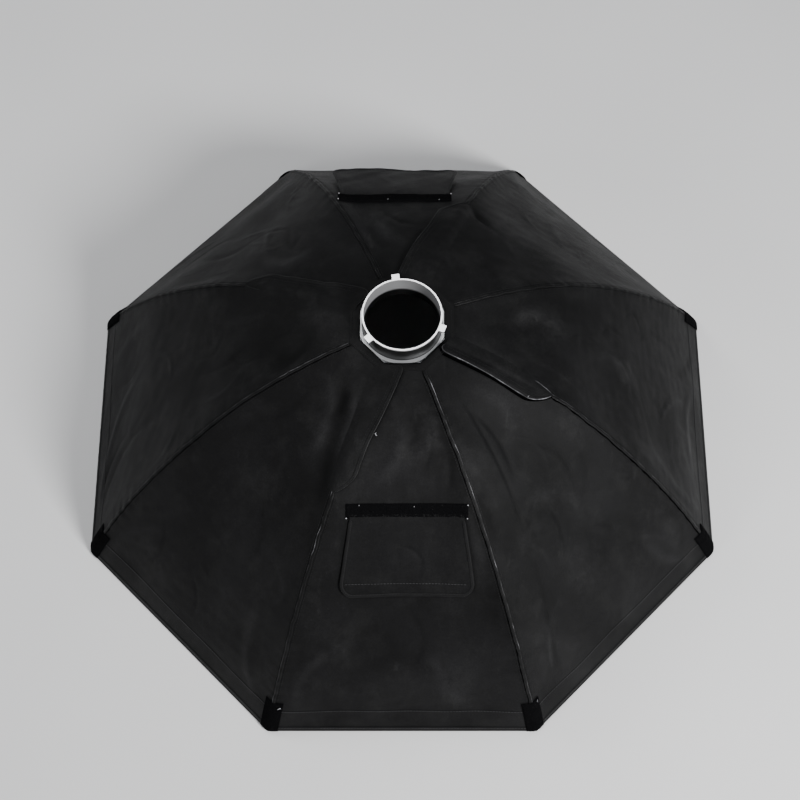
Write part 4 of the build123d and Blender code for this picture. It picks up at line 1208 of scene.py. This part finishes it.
def vent_net(place, panel, shift):
    """Net in the window and the tape that binds the window's edge."""
    half_width, s_top, s_low = window_size(place)
    s = np.linspace(s_top - NET_MARGIN, s_low + NET_MARGIN, 26)[:, None]
    x = np.linspace(-half_width - NET_MARGIN, half_width + NET_MARGIN, 40)[None, :]
    s, x = np.broadcast_arrays(s, x)
    net = closed_sheet(f"vent_{place}_net", on_panel(panel, s, x + shift, -0.9 * MM),
                       on_panel(panel, s, x + shift, -1.15 * MM),
                       M["net"], np.stack([x, s], -1))
    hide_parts(f"vent_mesh_{place}")
    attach(net, "softbox")
    middle, half_height = (s_top + s_low) / 2, (s_low - s_top) / 2
    angle = np.linspace(0, 2 * pi, 121)
    corner_x = np.sign(np.cos(angle)) * (half_width - WINDOW_CORNER)
    corner_s = np.sign(np.sin(angle)) * (half_height - WINDOW_CORNER)
    loop = np.stack([middle + corner_s + WINDOW_CORNER * np.sin(angle),
                     corner_x + WINDOW_CORNER * np.cos(angle)], -1)
    long = lengths_along(loop)
    at = np.linspace(0, long[-1], 150)
    a, b = np.interp(at, long, loop[:, 0]), np.interp(at, long, loop[:, 1])
    for name, depth in (("window_binding", 0.4 * MM), ("lining_binding", LINING_DEPTH + LINING_THICK)):
        tape = strand(f"vent_{place}_{name}", on_panel(panel, a, b + shift, -depth), panel_normals(panel, a),
                      WINDOW_TAPE_HALF, 1.0 * MM, M["binding"], 10, 0.6, taper=1)
        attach(tape, "softbox")


for place, (panel, shift, tilt) in VENTS.items():
    vent_net(place, panel, shift)
    vent_flap(place, panel, shift, tilt)
    vent_strip(place, panel, shift)

# ---- Access flaps -------------------------------------------------------------------------------
EDGE_TAPE = 4.6 * MM


def access_flap(rib_number, side, near, far, length, edge_lift):
    """Flap over the slit beside a rib: the one panel's cloth, carried over the ridge on to the next panel."""
    rib = rib_number - 1
    body = f"access_flap_{rib_number}"
    rng = np.random.default_rng(120 + rib)
    ripple, sway = waves(rng, 5, 22 * MM, 70 * MM), waves(rng, 4, 50 * MM, 120 * MM)

    def reach(along):
        return access_reach(along, near, far, length) + 0.5 * MM * sway(along, 0 * along)

    def top_lift(along, x):
        inset = reach(along) - x
        end = 1 - smooth(along, length - ACCESS_TAPER, length)
        lift = -0.35 + 2.85 * smooth(x, -ACCESS_ROOT, 3 * MM) + 0.3 * ripple(x, along) * smooth(x, 0, 12 * MM)
        tape = 0.45 * (1 - smooth(inset, EDGE_TAPE - 0.5 * MM, EDGE_TAPE + 0.5 * MM)) * smooth(x, 0, 3 * MM)
        return (lift + tape) * MM + edge_lift * end * smooth(x, 5 * MM, near) * (1 + 0.25 * sway(x, along))

    def at(along, x, lift):
        return rounded_rib(rib, ACCESS_START + along, side * x, lift)

    rows = np.concatenate([ACCESS_CORNER * (1 - np.cos(np.linspace(0.1, pi / 2, 10))),
                           np.linspace(ACCESS_CORNER, length - ACCESS_TAPER, 54)[1:-1],
                           length - ACCESS_TAPER + ACCESS_TAPER * np.sin(np.linspace(0, pi / 2 - 0.03, 22))])
    insets = np.array([0, 0.35, 0.8, 1.5, 2.5, 3.5, 4.1, 4.4, 4.7, 5.1, 5.6]) * MM
    shares = np.linspace(0, 1, 26, endpoint=False)
    edge = reach(rows)[:, None]
    spread = -ACCESS_ROOT + shares * (edge - insets[-1] + ACCESS_ROOT)
    x = np.concatenate([spread, edge - insets[::-1]], axis=1)
    along = np.broadcast_to(rows[:, None], x.shape)
    top = top_lift(along, x)
    thick = (0.3 + 0.8 * smooth(x, -14 * MM, 0)) * MM
    # Flap 8's edge takes the pale copy of the seam edge as a painted highlight.
    edge_cloth = M["painted_highlight_edge" if rib_number == 8 else "dull_edge"]
    sheet = closed_sheet(f"{body}_cloth", at(along, x, top), at(along, x, top - thick), M["flap"],
                         np.stack([x, along], -1))
    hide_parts(body)
    line = np.stack([np.concatenate([[rows[0]], rows]),
                     np.concatenate([[1 * MM], reach(rows) - 0.3 * MM])], -1)
    long = lengths_along(line)
    where = np.linspace(0, long[-1], int(long[-1] / (2 * MM)))
    a, x = np.interp(where, long, line[:, 0]), np.interp(where, long, line[:, 1])
    normals = panel_normals(rib + (side > 0), ACCESS_START + a)
    binding = strand(f"{body}_binding", at(a, x, top_lift(a, x) - 0.55 * MM), normals, 0.7 * MM, 0.7 * MM,
                     edge_cloth, 8, 0.9)
    parts = [sheet, binding]
    # A near-black strip under flap 8's free edge, as painted shadow.
    if rib_number == 8:
        out = x + 1.4 * MM
        under = np.where(out > 4 * MM, 0.5, 1.2) * MM
        parts.append(strand(f"{body}_edge_shadow", near_rib(rib, ACCESS_START + a, side * out, under), normals,
                            1.6 * MM, 0.45 * MM, M["shade_strip"], 6))
    if rib_number in (4, 8):
        fold_a = np.linspace(length - 26 * MM, length - 1 * MM, 16)
        fold_x = -6 * MM * np.sqrt(np.linspace(1, 0, 16))
        parts.append(strand(f"{body}_tip_fold", at(fold_a, fold_x, top_lift(fold_a, fold_x)),
                            rib_normals(rib, ACCESS_START + fold_a), 0.55 * MM, 0.5 * MM, edge_cloth, 6))
    lines = []
    for inset in (EDGE_TAPE - 1.1 * MM, EDGE_TAPE + 4.5 * MM):
        inner_x = x - inset
        keep = (inner_x > 2 * MM) & (a > 4 * MM) & (a < length - 5 * MM)
        lift = top_lift(a[keep], inner_x[keep]) + 0.05 * MM
        lines.append((at(a[keep], inner_x[keep], lift), normals[keep]))
    parts.append(stitches(f"{body}_stitches", lines, M["thread"]))
    hinge = near_rib(rib, ACCESS_START + length / 2, 0.0, 1.5 * MM)
    for piece in parts:
        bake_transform(piece)
    area = float(np.trapz(reach(rows) + ACCESS_ROOT, rows))


HOOKS_WIDTH = 12 * MM
HOOKS_START = 24 * MM                    # from the flap's upper end
HOOKS_SHORTER = 50 * MM                  # than the flap


def access_strips():
    """Hook strips on the panels, under the access flaps' free edges."""
    for rib_number, (side, near, far, length, _) in ACCESS.items():
        outer = min(near, far) - 2 * MM

        def at(u, v, lift, rib=rib_number - 1, side=side, outer=outer, length=length):
            along = ACCESS_START + HOOKS_START + v * (length - HOOKS_SHORTER)
            return near_rib(rib, along, side * (outer - (1 - u) * HOOKS_WIDTH), lift)

        def uv(u, v):
            return np.stack([v * 120 * MM, u * HOOKS_WIDTH], -1)

        piece = pile_grid(f"access_hooks_{rib_number}", at, 12, 90, 0.0, 0.9 * MM, 9, uv)
        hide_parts("access_hook_strips")
        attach(piece, "softbox")


for rib_number, sizes in ACCESS.items():
    access_flap(rib_number, *sizes)
access_strips()


def loose_threads():
    """Ends of pale sewing thread left at two flaps and two corner tabs."""
    spots = [("access_flap_6", rounded_rib(5, ACCESS_START + 88 * MM, 27 * MM, 4.4 * MM), 1.0 * MM),
             ("access_flap_8", rounded_rib(7, ACCESS_START + 118 * MM, -21.5 * MM, 7 * MM), 0.7 * MM),
             ("tip_tab_6", near_rib(5, TAB_TOP + 6 * MM, 9 * MM, 3.0 * MM), 1.1 * MM),
             ("tip_tab_7", near_rib(6, TAB_TOP + 3 * MM, 10 * MM, 3.0 * MM), 0.5 * MM)]
    for number, (body, place, size) in enumerate(spots):
        place = np.asarray(place, float).reshape(3)
        rng = np.random.default_rng(300 + number)
        turns = np.cumsum(rng.normal(0, 1.1 * size, (9, 3)) * (1, 1, 0.35), axis=0)
        path = place + turns - turns.mean(0)
        upward = np.broadcast_to([0, 0, 1.0], path.shape)
        piece = strand(f"{body}_thread_end", path, upward, 0.32 * size, 0.32 * size, M["pale_thread"], 6)
        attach(piece, body)

# ---- Tabs over the rods' tips -------------------------------------------------------------------
TAB_HALF = 13.5 * MM
TAB_THICK = 1.9 * MM
TAB_LOW = s_at_height(1.2 * MM)


def tip_tab(number):
    """Folded hook-and-loop tab over one corner of the rim, sewn on at its upper end."""
    rib = number - 1
    body = f"tip_tab_{number}"

    def at(u, v, lift):
        return near_rib(rib, TAB_TOP + u * (TAB_LOW - TAB_TOP), (2 * v - 1) * TAB_HALF, lift)

    def uv(u, v):
        return np.stack([v * 2 * TAB_HALF, u * 0.052], -1)

    tab = pile_grid(f"{body}_pile", at, 34, 24, 0.5 * MM, TAB_THICK, 20 + rib, uv)
    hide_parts(body)
    rng = np.random.default_rng(160 + rib)
    count = 500
    u, v = rng.uniform(0, 1, (2, count))
    on_edge = rng.uniform(0, 1, count) < 0.5
    v = np.where(on_edge, np.round(v), v)
    u = 0.03 + 0.94 * u
    hairs = fibres(f"{body}_fibres", at(u, v, 2.1 * MM - 0.9 * MM * on_edge),
                   rib_normals(rib, TAB_TOP + u * (TAB_LOW - TAB_TOP)), M["pile"], 170 + rib)
    top = near_rib(rib, TAB_TOP + 2.5 * MM, 0, 1 * MM)
    below = near_rib(rib, TAB_TOP + 7.5 * MM, 0, 1 * MM)
    for piece in (tab, hairs):
        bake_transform(piece)


for number in range(1, SIDES + 1):
    tip_tab(number)
loose_threads()

# ---- Inside: seam tapes, hook and loop bands, diffuser ------------------------------------------
TAPE_HALF = 10.5 * MM
TAPE_START = s_at_apothem(76 * MM)


def seam_tapes():
    """Black tape over each rib's seam inside the lining."""
    for rib in range(SIDES):
        s = np.linspace(TAPE_START, s_at_height(HEM_HEIGHT - 2 * MM), 120)[:, None]
        v = np.linspace(-1, 1, 13)[None, :]
        s2, x = np.broadcast_arrays(s, v * TAPE_HALF)
        depth = LINING_DEPTH + LINING_THICK + 0.5 * MM
        outer, inner = near_rib(rib, s2, x, -depth), near_rib(rib, s2, x, -depth - 0.7 * MM)
        tape = closed_sheet(f"seam_tape_{rib + 1}", outer, inner, M["tape"], np.stack([s2, x], -1))
        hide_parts("seam_tapes")
        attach(tape, "softbox")


seam_tapes()


BAND_TOP = s_at_height(35.5 * MM)
BAND_LOW = s_at_height(10.4 * MM)
BAND_SHORT = 24.5 * MM                   # of the corner, at each end
BAND_THICK = 1.0 * MM


def rim_strip(name, depth, material, seed, node):
    """Straight strips of band inside the hem, one on each side."""
    for panel in range(SIDES):
        def at(u, v, lift, panel=panel):
            s = BAND_TOP + u * (BAND_LOW - BAND_TOP)
            half = RIM_APOTHEM * SPREAD - BAND_SHORT
            return on_panel(panel, s, (2 * v - 1) * half, -depth - lift, relief=False)

        u, v = np.meshgrid(np.linspace(0, 1, 14), np.linspace(0, 1, 150), indexing="ij")
        relief = pile_relief(u.shape, seed + panel, 0.08 * MM)
        piece = closed_sheet(f"{name}_{panel + 1}", at(u, v, BAND_THICK + relief), at(u, v, 0), material,
                             np.stack([v * 0.31, u * 0.025], -1))
        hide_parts(node)
        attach(piece, "softbox")


rim_strip("hook_band", 3.1 * MM, M["pile"], 300, "diffuser_hook_bands")
rim_strip("loop_band", 4.35 * MM, M["white_pile"], 320, "diffuser_loop_bands")


DIFFUSER_CORNER = 448 * MM               # its corners are cut off at this distance from the axis
DIFFUSER_SLACK = 3.2 * MM


def diffuser():
    """White front cloth, a little slack, with its corners cut off where the rods stand."""
    _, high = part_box("front_diffuser")
    apothem, level = float(high[0]), float(high[2]) - 0.4 * MM
    ring, spokes = ((60, 192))
    angle = np.linspace(0, 2 * pi, spokes, endpoint=False)
    to_side = apothem / np.cos((angle + HALF) % (2 * HALF) - HALF)
    to_corner = DIFFUSER_CORNER / np.cos(angle % (2 * HALF) - HALF)
    reach = np.minimum(to_side, to_corner)
    share = np.linspace(0.0002, 1, ring)[:, None]            # the hole left in the middle is too small to see
    rng = np.random.default_rng(400)
    slack = waves(rng, 7, 60 * MM, 260 * MM)
    x, y = share * reach * np.cos(angle), share * reach * np.sin(angle)
    sag = -DIFFUSER_SLACK * (1 - share ** 2) + 0.7 * MM * slack(x, y) * (1 - share ** 4)
    top = np.stack([x, y, level + sag], -1)
    under = top - (0, 0, 0.7 * MM)
    cloth = closed_sheet("diffuser_cloth", top, under, M["front"], np.stack([x, y], -1), wrap=True)
    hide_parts("front_diffuser")
    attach(cloth, "softbox")


diffuser()

# ---- CAD nodes that keep their shape ------------------------------------------------------------
def repaint(names, material):
    """Give CAD nodes a finished material."""
    for name in names:
        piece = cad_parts[name]
        piece.data.materials.clear()
        piece.data.materials.append(material)


repaint(["speed_ring"], M["ring"])
repaint(["mount_collar"], M["collar"])
repaint(["collar_retaining_screws", "retaining_washers", "collar_lock_screw"], M["screw"])
repaint([f"rod_{number}" for number in range(1, SIDES + 1)], M["steel"])
repaint(["rod_tip_caps"], M["rubber"])
repaint(["rod_tip_pockets"], M["tape"])
